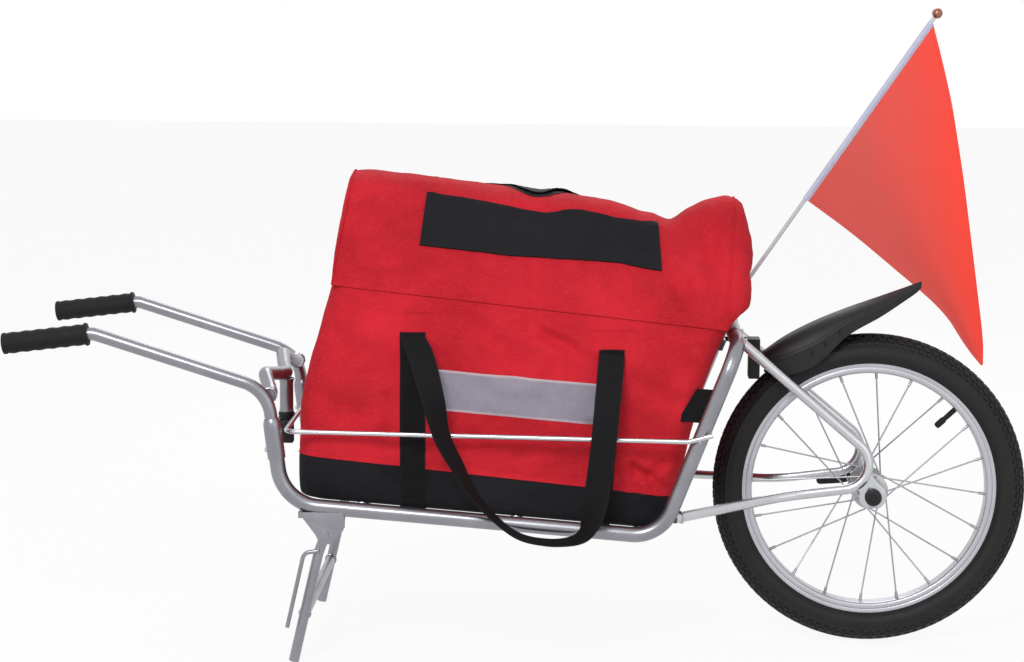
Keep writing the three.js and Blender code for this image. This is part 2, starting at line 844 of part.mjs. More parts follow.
function makeSnapButtons(parent) {
  const tip = sleeveRadius + buttonProud;
  const profile = [
    [0, -buttonShank], [buttonRadius, -buttonShank], [buttonRadius, tip - buttonRadius / 2],
    [buttonRadius / 2, tip], [0, tip],
  ];
  for (const [name, side] of sides) {
    const centre = at(postAhead(buttonUp), side * railHalfSpacing, buttonUp);
    piece(parent, `${name}_snap_button`, turned(profile, centre, buttonDirection(), rodSides), steel);
  }
}

// Bag hoop: one wire behind the sleeves and along both sides, its ends turned up past the rear posts
function makeBagHoop(parent) {
  const frontAhead = postAhead(hoopFrontUp) - sleeveRadius / Math.cos(postLean) - hoopRadius - gap;
  const rearSide = railHalfSpacing + railRadius + hoopRadius + gap;
  const hookAhead = rearPostAheadAt(hoopRearUp) + hoopHookRun / 2;
  const half = [
    at(hookAhead - hoopHookRun, rearSide, hoopRearUp + hoopHookRise),
    at(hookAhead, rearSide, hoopRearUp),
    at(frontAhead, railHalfSpacing - hoopFrontInset, hoopFrontUp),
  ];
  const other = half.slice().reverse().map(acrossFrom);
  const bends = [hoopHookBend, hoopCornerBend, hoopCornerBend, hoopHookBend];
  piece(parent, 'bag_hoop', bentTube([...half, ...other], bends, hoopRadius, rodSides), steel);
}

// Stand: channel brackets under the rails with their pivot bolts, and the folding frame
function bracketOutline() {
  const top = deckUp(standPivotAhead) - railRadius / 2;
  return [
    [bracketFrontAhead, top], [bracketRearAhead, top],
    [bracketRearAhead, standPivotUp + bracketRadius / 2],
    [standPivotAhead - bracketRadius, standPivotUp - bracketRadius / 2],
    [standPivotAhead - bracketRadius / 2, standPivotUp - bracketRadius],
    [standPivotAhead + bracketRadius / 2, standPivotUp - bracketRadius],
    [standPivotAhead + bracketRadius, standPivotUp],
  ];
}

function makeStandBrackets(parent) {
  const cheekOffset = eyeWidth / 2 + gap + bracketWall / 2;
  for (const [name, side] of sides) {
    const y = side * railHalfSpacing;
    const cheeks = [-1, 1].map((face) => sidePlate(bracketOutline(), y + face * cheekOffset, bracketWall));
    const webLow = deckUp(standPivotAhead) - railRadius - bracketWall;
    const halfWeb = cheekOffset + bracketWall / 2;
    const web = box(
      at(bracketFrontAhead, y - halfWeb, webLow),
      at(bracketRearAhead, y + halfWeb, webLow + bracketWall + railRadius / 2),
    );
    const boltReach = halfWeb + boltHeadLength;
    const bolt = turned(
      rodProfile(pivotBoltRadius, -boltReach, boltReach),
      at(standPivotAhead, y, standPivotUp),
      yAxis,
      rodSides * 2,
    );
    const heads = [-1, 1].map((face) => turned(
      rodProfile(boltHeadRadius, halfWeb - bracketWall / 2, boltReach),
      at(standPivotAhead, y, standPivotUp),
      new THREE.Vector3(0, face, 0),
      rodSides * 2,
    ));
    const bracket = join(...cheeks, web, bolt, ...heads);
    piece(parent, `${name}_stand_bracket`, cut(bracket, railTube(side, railRadius + gap)), steel);
  }
}

function legTube(side) {
  const y = side * railHalfSpacing;
  const corners = [
    at(standPivotAhead, y, standPivotUp),
    at(legKneeAhead, y, legKneeUp),
    at(footAhead, y, footEndUp),
  ];
  return bentTube(corners, [legBend], legRadius);
}

function legAheadAt(up) {
  return legKneeAhead + ((legKneeUp - up) / (legKneeUp - footEndUp)) * (footAhead - legKneeAhead);
}

function makeStandFrame(parent) {
  const barAhead = legAheadAt(crossBarUp);
  const bar = straightTube(
    at(barAhead, -railHalfSpacing, crossBarUp), at(barAhead, railHalfSpacing, crossBarUp), crossBarRadius,
  );
  const eyes = sides.map(([, side]) => turned(
    rodProfile(eyeRadius, -eyeWidth / 2, eyeWidth / 2),
    at(standPivotAhead, side * railHalfSpacing, standPivotUp),
    yAxis,
  ));
  const bores = sides.map(([, side]) => turned(
    rodProfile(pivotBoltRadius + gap, -eyeWidth, eyeWidth),
    at(standPivotAhead, side * railHalfSpacing, standPivotUp),
    yAxis,
    rodSides * 2,
  ));
  const frame = cut(join(legTube(-1), legTube(1), bar, ...eyes), ...bores);
  piece(parent, 'stand_frame', frame, steel);
}

function makeKickRod(parent) {
  const y = -railHalfSpacing - legRadius - kickRodRadius - gap;
  const corners = [
    at(kickRodTopAhead, y, kickRodTopUp),
    at(kickRodKneeAhead, y, kickRodKneeUp),
    at(kickRodTipAhead, y, kickRodTipUp),
  ];
  const rod = bentTube(corners, [kickRodBend], kickRodRadius, rodSides);
  piece(parent, 'kick_rod', rod, steel);
}

// Mudguard: a tongue under the top tube and a pointed blade with side skirts
function guardFront() {
  const turn = Math.atan2(rearPostAheadAt(topUp), topUp - tyreRadius) - guardFrontTurn;
  const reach = tyreRadius + guardClearance;
  return { ahead: reach * Math.sin(turn), up: tyreRadius + reach * Math.cos(turn) };
}

function guardStations() {
  const front = guardFront();
  return guardShares.map(([run, rise, skirt, width]) => ({
    ahead: front.ahead - run * guardLength,
    crest: front.up + rise * guardRise,
    skirt: skirt * guardSkirt,
    halfWidth: width * guardHalfWidth,
  }));
}

function guardSection(station, inset) {
  const outer = [];
  for (const [across, down] of guardSectionShares) {
    const half = Math.max(station.halfWidth - inset, 0);
    const fall = inset + down * (station.skirt - inset);
    outer.push(at(station.ahead, across * half, station.crest - fall));
  }
  return outer;
}

function makeMudguard(parent) {
  const rings = guardStations().map((station) => {
    const outer = guardSection(station, 0);
    const inner = guardSection(station, guardWall).reverse();
    return [...outer, ...inner];
  });
  const blade = loft(rings);
  const front = guardFront();
  const tubeBottom = topUp - railRadius;
  const topAhead = rearPostAheadAt(topUp);
  const tongueFront = topAhead - tongueBehind;
  const tongueRear = tongueFront - tongueThickness;
  const armTop = front.up - guardWall - armDrop;
  const tongueLow = Math.min(tubeBottom - tongueLength, armTop - armThickness);
  const tongue = box(
    at(tongueFront, -tongueWidth / 2, tongueLow),
    at(tongueRear, tongueWidth / 2, topUp),
  );
  const saddle = box(
    at(topAhead + railRadius, -saddleWidth / 2, tubeBottom - saddleThickness),
    at(tongueRear, saddleWidth / 2, tubeBottom + saddleThickness),
  );
  const arm = box(
    at(tongueRear + overrun, -armHalfWidth, armTop - armThickness),
    at(front.ahead - armReach, armHalfWidth, armTop),
  );
  const across = railHalfSpacing;
  const fatTop = straightTube(at(topAhead, -across, topUp), at(topAhead, across, topUp), railRadius + gap);
  const bracket = cut(join(tongue, saddle, arm), fatTop);
  piece(parent, 'mudguard_bracket', bracket, blackPlastic);
  piece(parent, 'mudguard', blade, blackPlastic);
}

// Wheel
function wheelPoint(radius, angle, side) {
  return new THREE.Vector3(radius * Math.sin(angle), side, tyreRadius + radius * Math.cos(angle));
}

const wheelCentre = new THREE.Vector3(0, 0, tyreRadius);

function tyreProfile() {
  const section = tyreWidth / 2;
  const centre = tyreRadius - section;
  const beadOuter = rimWidth / 2 - rimFlange - gap;
  const beadInner = beadOuter - beadThickness;
  const beadFoot = beadRadius + gap;
  const shoulder = rimOuterRadius + gap * 2;
  const points = [[beadFoot, beadInner], [beadFoot, beadOuter], [shoulder, beadOuter]];
  for (let i = -tyreArcSteps; i <= tyreArcSteps; i += 1) {
    const angle = (-i / tyreArcSteps) * tyreArcHalf;
    points.push([centre + section * Math.cos(angle), section * Math.sin(angle)]);
  }
  points.push([shoulder, -beadOuter], [beadFoot, -beadOuter]);
  points.push([beadFoot, -beadInner], [shoulder, -beadInner]);
  const inner = section - tyreWall;
  for (let i = -tyreArcSteps; i <= tyreArcSteps; i += 1) {
    const angle = (i / tyreArcSteps) * tyreArcHalf;
    points.push([centre + inner * Math.cos(angle), inner * Math.sin(angle)]);
  }
  points.push([shoulder, beadInner], [beadFoot, beadInner]);
  return points;
}

function innerTubeProfile() {
  const centre = tyreRadius - tyreWidth / 2;
  const points = [];
  for (let i = 0; i <= tubeSteps; i += 1) {
    const angle = (i / tubeSteps) * 2 * Math.PI;
    points.push([centre + innerTubeRadius * Math.cos(angle), innerTubeRadius * Math.sin(angle)]);
  }
  return points;
}

function rimProfile() {
  const half = rimWidth / 2;
  const inside = half - rimFlange;
  const seat = beadRadius - gap;
  const well = rimWellWidth / 2;
  const right = [
    [rimInnerRadius, well], [seat - gap, half], [rimOuterRadius, half], [rimOuterRadius, inside],
    [seat, inside], [seat, inside - beadThickness], [rimInnerRadius + rimFlange, well],
  ];
  const left = right.slice().reverse().map(([radius, side]) => [radius, -side]);
  return [...right, ...left, right[0]];
}

function spokeEnds(i, side) {
  const phase = side < 0 ? leftSpokePhase : rightSpokePhase;
  const rimAngle = phase + (i * 2 * Math.PI) / spokesPerSide;
  const hubAngle = rimAngle + (i % 2 === 0 ? spokeTwist : -spokeTwist);
  const elbow = side * (flangeOffset + (i % 2 === 0 ? spokeElbow : -spokeElbow));
  const hub = wheelPoint(spokeHoleRadius, hubAngle, elbow);
  const rim = wheelPoint(rimInnerRadius + rimFlange + nippleHead, rimAngle, side * spokeRimOffset);
  return { hub, rim };
}

function spokes() {
  const rods = [];
  const nipples = [];
  for (const [, side] of sides) {
    for (let i = 0; i < spokesPerSide; i += 1) {
      const { hub, rim } = spokeEnds(i, side);
      const direction = rim.clone().sub(hub).normalize();
      const nippleFoot = rim.clone().addScaledVector(direction, -nippleLength);
      const end = nippleFoot.clone().addScaledVector(direction, overrun / 2);
      rods.push(straightTube(hub, end, spokeRadius, spokeSides));
      nipples.push(straightTube(nippleFoot, rim, nippleRadius, spokeSides));
    }
  }
  return [...rods, ...nipples];
}

function spokeHoles() {
  const holes = [];
  for (const [, side] of sides) {
    for (let i = 0; i < spokesPerSide; i += 1) {
      const { hub, rim } = spokeEnds(i, side);
      const direction = rim.clone().sub(hub).normalize();
      const from = rim.clone().addScaledVector(direction, -overrun);
      const to = rim.clone().addScaledVector(direction, overrun);
      holes.push(straightTube(from, to, nippleRadius + gap, spokeSides));
    }
  }
  return holes;
}

function hubShell() {
  const flangeIn = flangeOffset - flangeThickness / 2;
  const flangeOut = flangeOffset + flangeThickness / 2;
  const seat = hubHalfWidth - bearingWidth - gap;
  const right = [
    [axleRadius + gap * 3, 0], [axleRadius + gap * 3, seat], [bearingRadius + gap, seat],
    [bearingRadius + gap, hubHalfWidth], [hubCupRadius, hubHalfWidth], [hubCupRadius, flangeOut],
    [flangeRadius, flangeOut], [flangeRadius, flangeIn], [hubBarrelRadius, flangeIn - flangeThickness],
    [hubBarrelRadius, 0],
  ];
  const left = right.slice(1, -1).reverse().map(([radius, side]) => [radius, -side]);
  return turned([...right, ...left, right[0]], wheelCentre, yAxis, turnedSides);
}

function valve(radius, capRadius) {
  const outward = wheelPoint(1, valveAngle, 0).sub(wheelCentre);
  const top = tyreRadius - tyreWidth / 2 - innerTubeRadius - gap * 2;
  const cap = valveTipRadius + valveCapLength;
  const profile = [
    [0, valveTipRadius], [capRadius * valveTipShare, valveTipRadius],
    [capRadius, valveTipRadius + capRadius],
    [capRadius, cap], [radius, cap], [radius, top], [0, top],
  ];
  return turned(profile, wheelCentre, outward, rodSides * 2);
}

function makeWheel(parent) {
  piece(parent, 'tyre', turned(tyreProfile(), wheelCentre, yAxis, wheelSides), blackRubber);
  const tubeFlat = turned(innerTubeProfile(), wheelCentre, yAxis, wheelSides);
  piece(parent, 'inner_tube', tubeFlat, blackRubber);
  const valveHole = valveStemRadius + valveHoleClearance;
  const rim = turned(rimProfile(), wheelCentre, yAxis, wheelSides);
  piece(parent, 'rim', cut(rim, join(...spokeHoles()), valve(valveHole, valveHole)), aluminium);
  piece(parent, 'hub_and_spokes', join(hubShell(), ...spokes()), aluminium);
  piece(parent, 'valve', valve(valveStemRadius, valveCapRadius), blackRubber);
  const bearingMiddle = hubHalfWidth - bearingWidth / 2;
  for (const [name, side] of sides) {
    const low = side * bearingMiddle - bearingWidth / 2;
    const race = ringBetween(
      bearingRadius, axleRadius + gap, low, low + bearingWidth, wheelCentre, yAxis,
    );
    piece(parent, `${name}_bearing`, race, steel);
  }
}

// Axle, quick-release skewer, its nut and its lever
function makeAxle(parent) {
  const lockIn = hubHalfWidth + gap;
  const lockOut = dropoutHalfSpacing - dropoutThickness / 2 - gap;
  const end = dropoutHalfSpacing + dropoutThickness / 2 - gap;
  const bore = skewerRadius + gap;
  const right = [
    [bore, end], [axleRadius, end], [axleRadius, lockOut], [lockNutRadius, lockOut],
    [lockNutRadius, lockIn], [axleRadius, lockIn],
  ];
  const left = right.slice().reverse().map(([radius, side]) => [radius, -side]);
  piece(parent, 'axle', turned([...right, ...left, right[0]], wheelCentre, yAxis), steel);
}

function makeSkewer(parent) {
  const face = dropoutHalfSpacing + dropoutThickness / 2 + gap;
  const camEnd = face + camHousingLength;
  const nutEnd = face + skewerNutLength;
  const thread = nutEnd - skewerNutWall;
  const profile = [
    [0, -thread], [skewerRadius, -thread], [skewerRadius, face], [camHousingRadius, face],
    [camHousingRadius, camEnd - camPostLength], [camPostRadius, camEnd - camPostLength],
    [camPostRadius, camEnd], [0, camEnd],
  ];
  piece(parent, 'skewer', turned(profile, wheelCentre, yAxis), steel);
  const bore = skewerRadius + gap;
  const nutProfile = [
    [0, nutEnd], [skewerNutRadius - skewerNutGroove, nutEnd], [skewerNutRadius, nutEnd - skewerNutGroove],
    [skewerNutRadius, face + skewerNutGroove * 2],
    [skewerNutRadius - skewerNutGroove, face + skewerNutGroove],
    [skewerNutRadius, face], [bore, face], [bore, thread + gap], [0, thread + gap],
  ];
  const left = new THREE.Vector3(0, -1, 0);
  piece(parent, 'skewer_nut', turned(nutProfile, wheelCentre, left), blackPlastic);
}

// The lever: a round root on an upright pivot behind the cam, and a flat paddle
function leverPivotSide() {
  return dropoutHalfSpacing + dropoutThickness / 2 + gap + camHousingLength + gap + leverRootRadius;
}

function makeLever(parent) {
  const half = leverWidth / 2;
  const tip = half * leverTipShare;
  const outline = [[0, half * leverNeckShare], [0, -half * leverNeckShare], [leverLength / 2, -half]];
  for (let i = 0; i <= leverSteps; i += 1) {
    const angle = -Math.PI / 2 + (i / leverSteps) * Math.PI;
    outline.push([leverLength - tip + tip * Math.cos(angle), tip * Math.sin(angle)]);
  }
  outline.push([leverLength / 2, half]);
  const paddle = sidePlate(outline, 0, leverThickness);
  const root = turned(
    rodProfile(leverRootRadius, -half, half), new THREE.Vector3(), new THREE.Vector3(0, 0, 1),
  );
  const lever = piece(parent, 'quick_release_lever', join(paddle, root), blackPlastic);
  lever.position.set(0, leverPivotSide(), tyreRadius);
  lever.rotation.y = -leverDroop;
}

// Bag: a tray, a body and a lid as thin open shells, with straps, panels and strips on them
function bagRing(level, inset = 0, raise = 0) {
  const { front, rear, half, frontUp, rearUp } = level;
  const corner = bagCorner - inset;
  const points = [];
  const quarters = [[front, 1, 0], [front, -1, 1], [rear, -1, 2], [rear, 1, 3]];
  for (const [end, side, quarter] of quarters) {
    const endAhead = end === front ? front - bagCorner : rear + bagCorner;
    const centreSide = side * (half - bagCorner);
    for (let i = 0; i <= bagCornerSteps; i += 1) {
      const angle = Math.PI / 2 - ((quarter + i / bagCornerSteps) * Math.PI) / 2;
      const ahead = endAhead + corner * Math.cos(angle);
      const share = (ahead - rear) / (front - rear);
      const up = rearUp + (frontUp - rearUp) * share + raise;
      points.push(at(ahead, centreSide + corner * Math.sin(angle), up));
    }
  }
  return points;
}

function bagLevels() {
  const floorRise = floorTubeRadius + gap;
  const bottomUp = (ahead) => deckUp(ahead) + floorRise;
  const low = { front: bagFrontAhead, rear: bagRearAhead, half: bagHalfWidth };
  low.frontUp = bottomUp(low.front) + trayEdge;
  low.rearUp = bottomUp(low.rear) + trayEdge;
  const bottom = { front: low.front - trayEdge, rear: low.rear + trayEdge, half: low.half - trayEdge };
  bottom.frontUp = bottomUp(bottom.front);
  bottom.rearUp = bottomUp(bottom.rear);
  return {
    bottom,
    low,
    tray: level(bagFrontAhead, trayRearAhead, trayFrontUp, trayRearUp),
    waist: level(waistFrontAhead, waistRearAhead, waistFrontUp, waistRearUp),
    seam: level(seamFrontAhead, seamRearAhead, seamFrontUp, seamRearUp),
  };
}

function level(front, rear, frontUp, rearUp) {
  return { front, rear, frontUp, rearUp, half: bagHalfWidth };
}

function makeBagShells(parent, lidParent) {
  const { bottom, low, tray, waist, seam } = bagLevels();
  const trayRings = [
    bagRing(bottom), bagRing(low), bagRing(tray), bagRing(tray, bagWall), bagRing(low, bagWall),
    bagRing(bottom, bagWall, bagWall),
  ];
  piece(parent, 'bag_tray', loft(trayRings), blackFabric);
  const bodyRings = [
    bagRing(tray, 0, gap), bagRing(waist), bagRing(seam), bagRing(seam, bagWall), bagRing(waist, bagWall),
    bagRing(tray, bagWall, gap),
  ];
  piece(parent, 'bag_body', loft(bodyRings, true), redFabric);
  const leftSides = lidSectionShares.slice(1).map((_, i) => i + lidSectionShares.length - 1);
  const shell = cut(loft(lidRings(0), false, leftSides), loft(lidRings(bagWall), false, leftSides));
  piece(lidParent, 'bag_lid', shell, redFabric);
}

// A point on the lid: a share along it from the front, and a place on its arched section
function lidPoint(along, across, height, inset) {
  const run = seamFrontAhead - seamRearAhead;
  const seamAhead = seamFrontAhead - along * run;
  const seamUp = seamFrontUp - along * (seamFrontUp - seamRearUp) + gap;
  const [rise, lean, width] = lidStationAt(along);
  const tall = lidHeight * rise - inset;
  const half = bagHalfWidth * width - inset;
  const setBack = lean * lidHeight * Math.max(height, 0);
  return at(seamAhead - setBack, across * half, seamUp + height * tall);
}

function lidStationAt(along) {
  const last = lidStationShares.length - 1;
  const k = Math.min(last - 1, lidStationShares.findIndex(([place]) => place >= along) - 1);
  const low = lidStationShares[Math.max(0, k)];
  const high = lidStationShares[Math.max(0, k) + 1];
  const share = (along - low[0]) / (high[0] - low[0]);
  return [1, 2, 3].map((i) => low[i] + (high[i] - low[i]) * share);
}

// The lid's section from one edge over the crown to the other, each point placed by the function
function lidSection(placed) {
  const left = lidSectionShares.slice(0, -1).reverse().map(([across, height]) => [-across, height]);
  return [...lidSectionShares, ...left].map(([across, height]) => placed(across, height));
}

// The rear end is puffed out beyond the seam, in smaller sections set further back
function lidEndRings(inset) {
  return lidEndShares.map(([reach, lean, width, low, high]) => lidSection((across, height) => {
    const rise = low + (high - low) * height;
    const point = lidPoint(1, across * width, rise, inset);
    const ahead = seamRearAhead - (reach + lean * rise) * lidHeight + inset;
    return at(ahead, point.y, point.z + inset * (1 - height));
  }));
}

function lidRings(inset) {
  const run = seamFrontAhead - seamRearAhead;
  const skip = inset / run;
  const rings = lidStationShares.map(([along]) => {
    const place = Math.min(1 - skip, Math.max(skip, along));
    const ring = lidSection((across, height) => lidPoint(place, across, height, inset));
    if (inset > 0) {
      ring[0].z -= overrun;
      ring[ring.length - 1].z -= overrun;
    }
    return ring;
  });
  return [...rings, ...lidEndRings(inset)];
}

// The straight part of the lid's flank carries a window panel on each side
function makeWindow(parent, name, side) {
  const low = lidSectionShares[1];
  const high = lidSectionShares[2];
  const span = (share) => [low[0] + (high[0] - low[0]) * share, low[1] + (high[1] - low[1]) * share];
  const places = [windowFrontShare, ...lidStationShares.map(([place]) => place), windowRearShare]
    .filter((place) => place >= windowFrontShare && place <= windowRearShare);
  const unique = [...new Set(places)].sort((a, b) => a - b);
  const rings = unique.map((place) => {
    const corners = [];
    for (const [share, offset] of [[windowLowShare, windowSeat], [windowHighShare, windowSeat],
      [windowHighShare, windowSeat + windowThickness], [windowLowShare, windowSeat + windowThickness]]) {
      const [across, height] = span(share);
      const point = lidPoint(place, side * across, height, 0);
      const below = lidPoint(place, side * low[0], low[1], 0);
      const above = lidPoint(place, side * high[0], high[1], 0);
      const slope = above.sub(below).normalize();
      const outward = new THREE.Vector3(0, slope.z * side, -slope.y * side).normalize();
      corners.push(point.addScaledVector(outward, offset));
    }
    return corners;
  });
  piece(parent, name, loft(rings), blackFabric);
}

function makeStrip(parent, name, side) {
  const y = side * (bagHalfWidth + gap + stripThickness / 2);
  const outline = [
    [stripFrontAhead, stripFrontUp + stripHeight / 2], [stripRearAhead, stripRearUp + stripHeight / 2],
    [stripRearAhead, stripRearUp - stripHeight / 2], [stripFrontAhead, stripFrontUp - stripHeight / 2],
  ];
  piece(parent, name, sidePlate(outline, y, stripThickness), greyReflector);
}

// Webbing under the tray and up both sides, with its width along the trailer
function makeWebbing(parent, name, topAhead, bottomAhead, topHeight) {
  const { bottom } = bagLevels();
  const near = bagHalfWidth + gap;
  const share = (bottomAhead - bottom.rear) / (bottom.front - bottom.rear);
  const under = bottom.rearUp + (bottom.frontUp - bottom.rearUp) * share - webbingSag;
  const turn = under + trayEdge;
  const path = [
    [near, topHeight, topAhead], [near, turn, bottomAhead], [near - trayEdge, under, bottomAhead],
    [-near + trayEdge, under, bottomAhead], [-near, turn, bottomAhead], [-near, topHeight, topAhead],
  ];
  const rings = path.map(([side, up, ahead], i) => {
    const before = path[Math.max(0, i - 1)];
    const after = path[Math.min(path.length - 1, i + 1)];
    const outward = new THREE.Vector2(after[1] - before[1], before[0] - after[0]).normalize();
    if (i === 0 || i === 1) outward.set(1, 0);
    if (i === path.length - 1 || i === path.length - 2) outward.set(-1, 0);
    if (i === 2 || i === 3) outward.set(0, -1);
    const halfWidth = webbingWidth / 2;
    const climb = halfWidth * Math.tan(deckSlope);
    const outSide = side + outward.x * webbingThickness;
    const outUp = up + outward.y * webbingThickness;
    return [
      at(ahead - halfWidth, side, up - climb), at(ahead + halfWidth, side, up + climb),
      at(ahead + halfWidth, outSide, outUp + climb), at(ahead - halfWidth, outSide, outUp - climb),
    ];
  });
  piece(parent, name, loft(rings), blackFabric);
}

// A carry loop: webbing sewn on at both tops, turning edge-on as it hangs outside the rail
function makeCarryLoop(parent, name, side) {
  const near = bagHalfWidth + gap * 2 + webbingThickness;
  const run = frontWebbingAhead - loopRearAhead;
  const fall = loopFrontTopUp - loopRearTopUp;
  const places = loopShares.map(([along, drop, reach]) => at(
    frontWebbingAhead - along * run,
    side * (near + (loopSide - near) * reach),
    loopFrontTopUp - along * fall - drop * loopDrop,
  ));
  const topLine = at(run, 0, fall).normalize();
  const rings = places.map((place, i) => {
    const isEnd = i === 0 || i === places.length - 1;
    const before = places[Math.max(0, i - 1)];
    const after = places[Math.min(places.length - 1, i + 1)];
    const heading = after.clone().sub(before).setY(0).normalize();
    const level = new THREE.Vector3(-heading.z, 0, heading.x).multiplyScalar(-1);
    if (isEnd) level.copy(topLine).multiplyScalar(i === 0 ? 1 : -1);
    const twist = loopShares[i][3] * loopTwist;
    const wide = level.clone().multiplyScalar(Math.cos(twist)).setY(side * Math.sin(twist));
    const along = new THREE.Vector3(level.z, 0, -level.x);
    const thick = wide.clone().cross(along).multiplyScalar(side * webbingThickness);
    wide.multiplyScalar(webbingWidth / 2);
    return [
      place.clone().sub(wide), place.clone().add(wide),
      place.clone().add(wide).add(thick), place.clone().sub(wide).add(thick),
    ];
  });
  piece(parent, name, loft(rings, false, [ribbonBack]), blackFabric);
}

function makeTie(parent, name, side) {
  const thickness = railHalfSpacing - railRadius - bagHalfWidth - gap * 2;
  const y = side * (bagHalfWidth + gap + thickness / 2);
  const outline = [
    [tieFrontAhead, tieFootUp], [rearPostAheadAt(tieFootUp) - tieWidth / 2, tieFootUp],
    [rearPostAheadAt(tieTopUp) - tieWidth / 2, tieTopUp], [tieFrontAhead - tieLength / 2, tieTopUp],
  ];
  piece(parent, name, sidePlate(outline, y, thickness), blackFabric);
}

// Flag: a clip on the right rear post, the pole that lifts out of it, ball, hem and cloth
function poleLine() {
  const footUp = topUp - poleFootDrop;
  const foot = at(rearPostAheadAt(footUp) + poleFootOffset, poleSide, footUp);
  const top = at(-poleTopBehind, poleSide, poleTopUp);
  return { foot, top, direction: top.clone().sub(foot).normalize(), length: top.distanceTo(foot) };
}

function makeFlagClip(parent) {
  const { foot, direction } = poleLine();
  const postUp = topUp - poleFootDrop;
  const post = at(rearPostAheadAt(postUp), railHalfSpacing, postUp);
  const postDirection = at(-Math.sin(rearPostLean), 0, Math.cos(rearPostLean));
  const bandOuter = railRadius + gap + clipWall;
  const band = turned(rodProfile(bandOuter, -clipRingHeight / 2, clipRingHeight / 2), post, postDirection);
  const socket = turned(rodProfile(poleRadius + gap + clipWall, -clipWall, clipLength), foot, direction);
  const bore = turned(rodProfile(poleRadius + gap, 0, clipLength + overrun), foot, direction);
  const clip = cut(join(band, socket), railTube(1, railRadius + gap), bore);
  piece(parent, 'flag_clip', clip, blackPlastic);
}

function makePole(parent) {
  const { foot, direction, length } = poleLine();
  const pole = turned(rodProfile(poleRadius, gap, length), foot, direction, railSides);
  piece(parent, 'flag_pole', pole, whiteFibre);
  const ball = new THREE.SphereGeometry(ballRadius, turnedSides, turnedSides / 2);
  const centre = foot.clone().addScaledVector(direction, length + ballRadius + gap);
  ball.translate(centre.x, centre.y, centre.z);
  piece(parent, 'flag_ball', ball, copperBrown);
  const hemStart = length - hoistTopGap - hoistLength;
  const hem = ringBetween(
    hemRadius, poleRadius + gap, hemStart, hemStart + hoistLength, foot, direction, railSides,
  );
  piece(parent, 'flag_hem', hem, whiteFibre);
}

function makeCloth(parent) {
  const { foot, direction, length } = poleLine();
  const hemStart = length - hoistTopGap - hoistLength;
  const low = foot.clone().addScaledVector(direction, hemStart + gap);
  const high = foot.clone().addScaledVector(direction, hemStart + hoistLength - gap);
  const away = new THREE.Vector3(direction.z, 0, -direction.x);
  low.addScaledVector(away, hemRadius + gap);
  high.addScaledVector(away, hemRadius + gap);
  const tail = at(-tailBehind, poleSide, tailUp);
  const rings = [];
  for (let row = 0; row <= clothRows; row += 1) {
    const drop = (row / clothRows) * clothEndShare;
    const front = [];
    const back = [];
    for (let column = 0; column <= clothColumns; column += 1) {
      const share = column / clothColumns;
      const edge = low.clone().lerp(high, share);
      const belly = Math.sin(drop * Math.PI);
      const point = edge.lerp(tail, drop);
      point.add(at(-rearEdgeBow * share * belly, 0, foreEdgeBow * (1 - share) * belly));
      const wave = clothWave * Math.sin(share * clothFolds * 2 * Math.PI) * belly;
      front.push(point.clone().add(new THREE.Vector3(0, wave - clothThickness / 2, 0)));
      back.unshift(point.clone().add(new THREE.Vector3(0, wave + clothThickness / 2, 0)));
    }
    rings.push([...front, ...back]);
  }
  piece(parent, 'flag_cloth', loft(rings), orangeCloth);
}

// The whole trailer, with its origin under the middle of its own box
const trailer = new THREE.Group();
const built = new THREE.Group();
trailer.add(built);
makeFrame(built);
makeRearTriangle(built);
makeHandles(built);
makeHitch(built);
makeSnapButtons(built);
makeBagHoop(built);
makeStandBrackets(built);
makeStandFrame(built);
makeKickRod(built);
makeMudguard(built);
makeWheel(built);
makeAxle(built);
makeSkewer(built);
makeLever(built);
makeBagShells(built, built);
for (const [name, side] of sides) {
  makeWindow(built, `${name}_window_panel`, side);
  makeStrip(built, `${name}_reflective_strip`, side);
  makeCarryLoop(built, `${name}_carry_loop`, side);
  makeTie(built, `${name}_tie_strap`, side);
}
makeWebbing(built, 'front_webbing', frontWebbingAhead, frontWebbingAhead, frontWebbingUp);
makeWebbing(built, 'rear_webbing', rearWebbingAhead, rearWebbingAhead + rearWebbingLean, rearWebbingUp);
makeFlagClip(built);
makePole(built);
makeCloth(built);

const bounds = new THREE.Box3().setFromObject(built);
const middle = bounds.getCenter(new THREE.Vector3());
built.position.set(-middle.x, -middle.y, -bounds.min.z);

export default trailer;
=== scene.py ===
import math

import bmesh
import bpy
from mathutils import Matrix, Vector, noise


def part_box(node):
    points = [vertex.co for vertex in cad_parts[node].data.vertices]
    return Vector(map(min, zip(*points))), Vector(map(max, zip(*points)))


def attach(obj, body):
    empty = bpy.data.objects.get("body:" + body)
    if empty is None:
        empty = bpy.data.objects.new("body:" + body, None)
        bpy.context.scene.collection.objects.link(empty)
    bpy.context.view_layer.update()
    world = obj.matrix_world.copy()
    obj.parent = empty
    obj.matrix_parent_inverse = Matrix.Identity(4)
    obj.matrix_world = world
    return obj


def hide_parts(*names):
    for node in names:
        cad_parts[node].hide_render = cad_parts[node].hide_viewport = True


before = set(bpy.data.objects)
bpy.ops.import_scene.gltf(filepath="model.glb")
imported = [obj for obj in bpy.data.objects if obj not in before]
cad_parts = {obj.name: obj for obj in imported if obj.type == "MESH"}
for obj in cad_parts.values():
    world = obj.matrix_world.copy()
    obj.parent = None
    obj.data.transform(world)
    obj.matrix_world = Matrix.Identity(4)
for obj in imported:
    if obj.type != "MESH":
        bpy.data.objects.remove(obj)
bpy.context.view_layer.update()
mm = 0.001

# places are told as on the trailer: ahead of the axle, side (left is minus), up from the floor, in mm
wheelLow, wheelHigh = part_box("tyre")
axleX = (wheelLow.x + wheelHigh.x) / 2


def at(ahead, side, up):
    return Vector((axleX - ahead * mm, side * mm, up * mm))


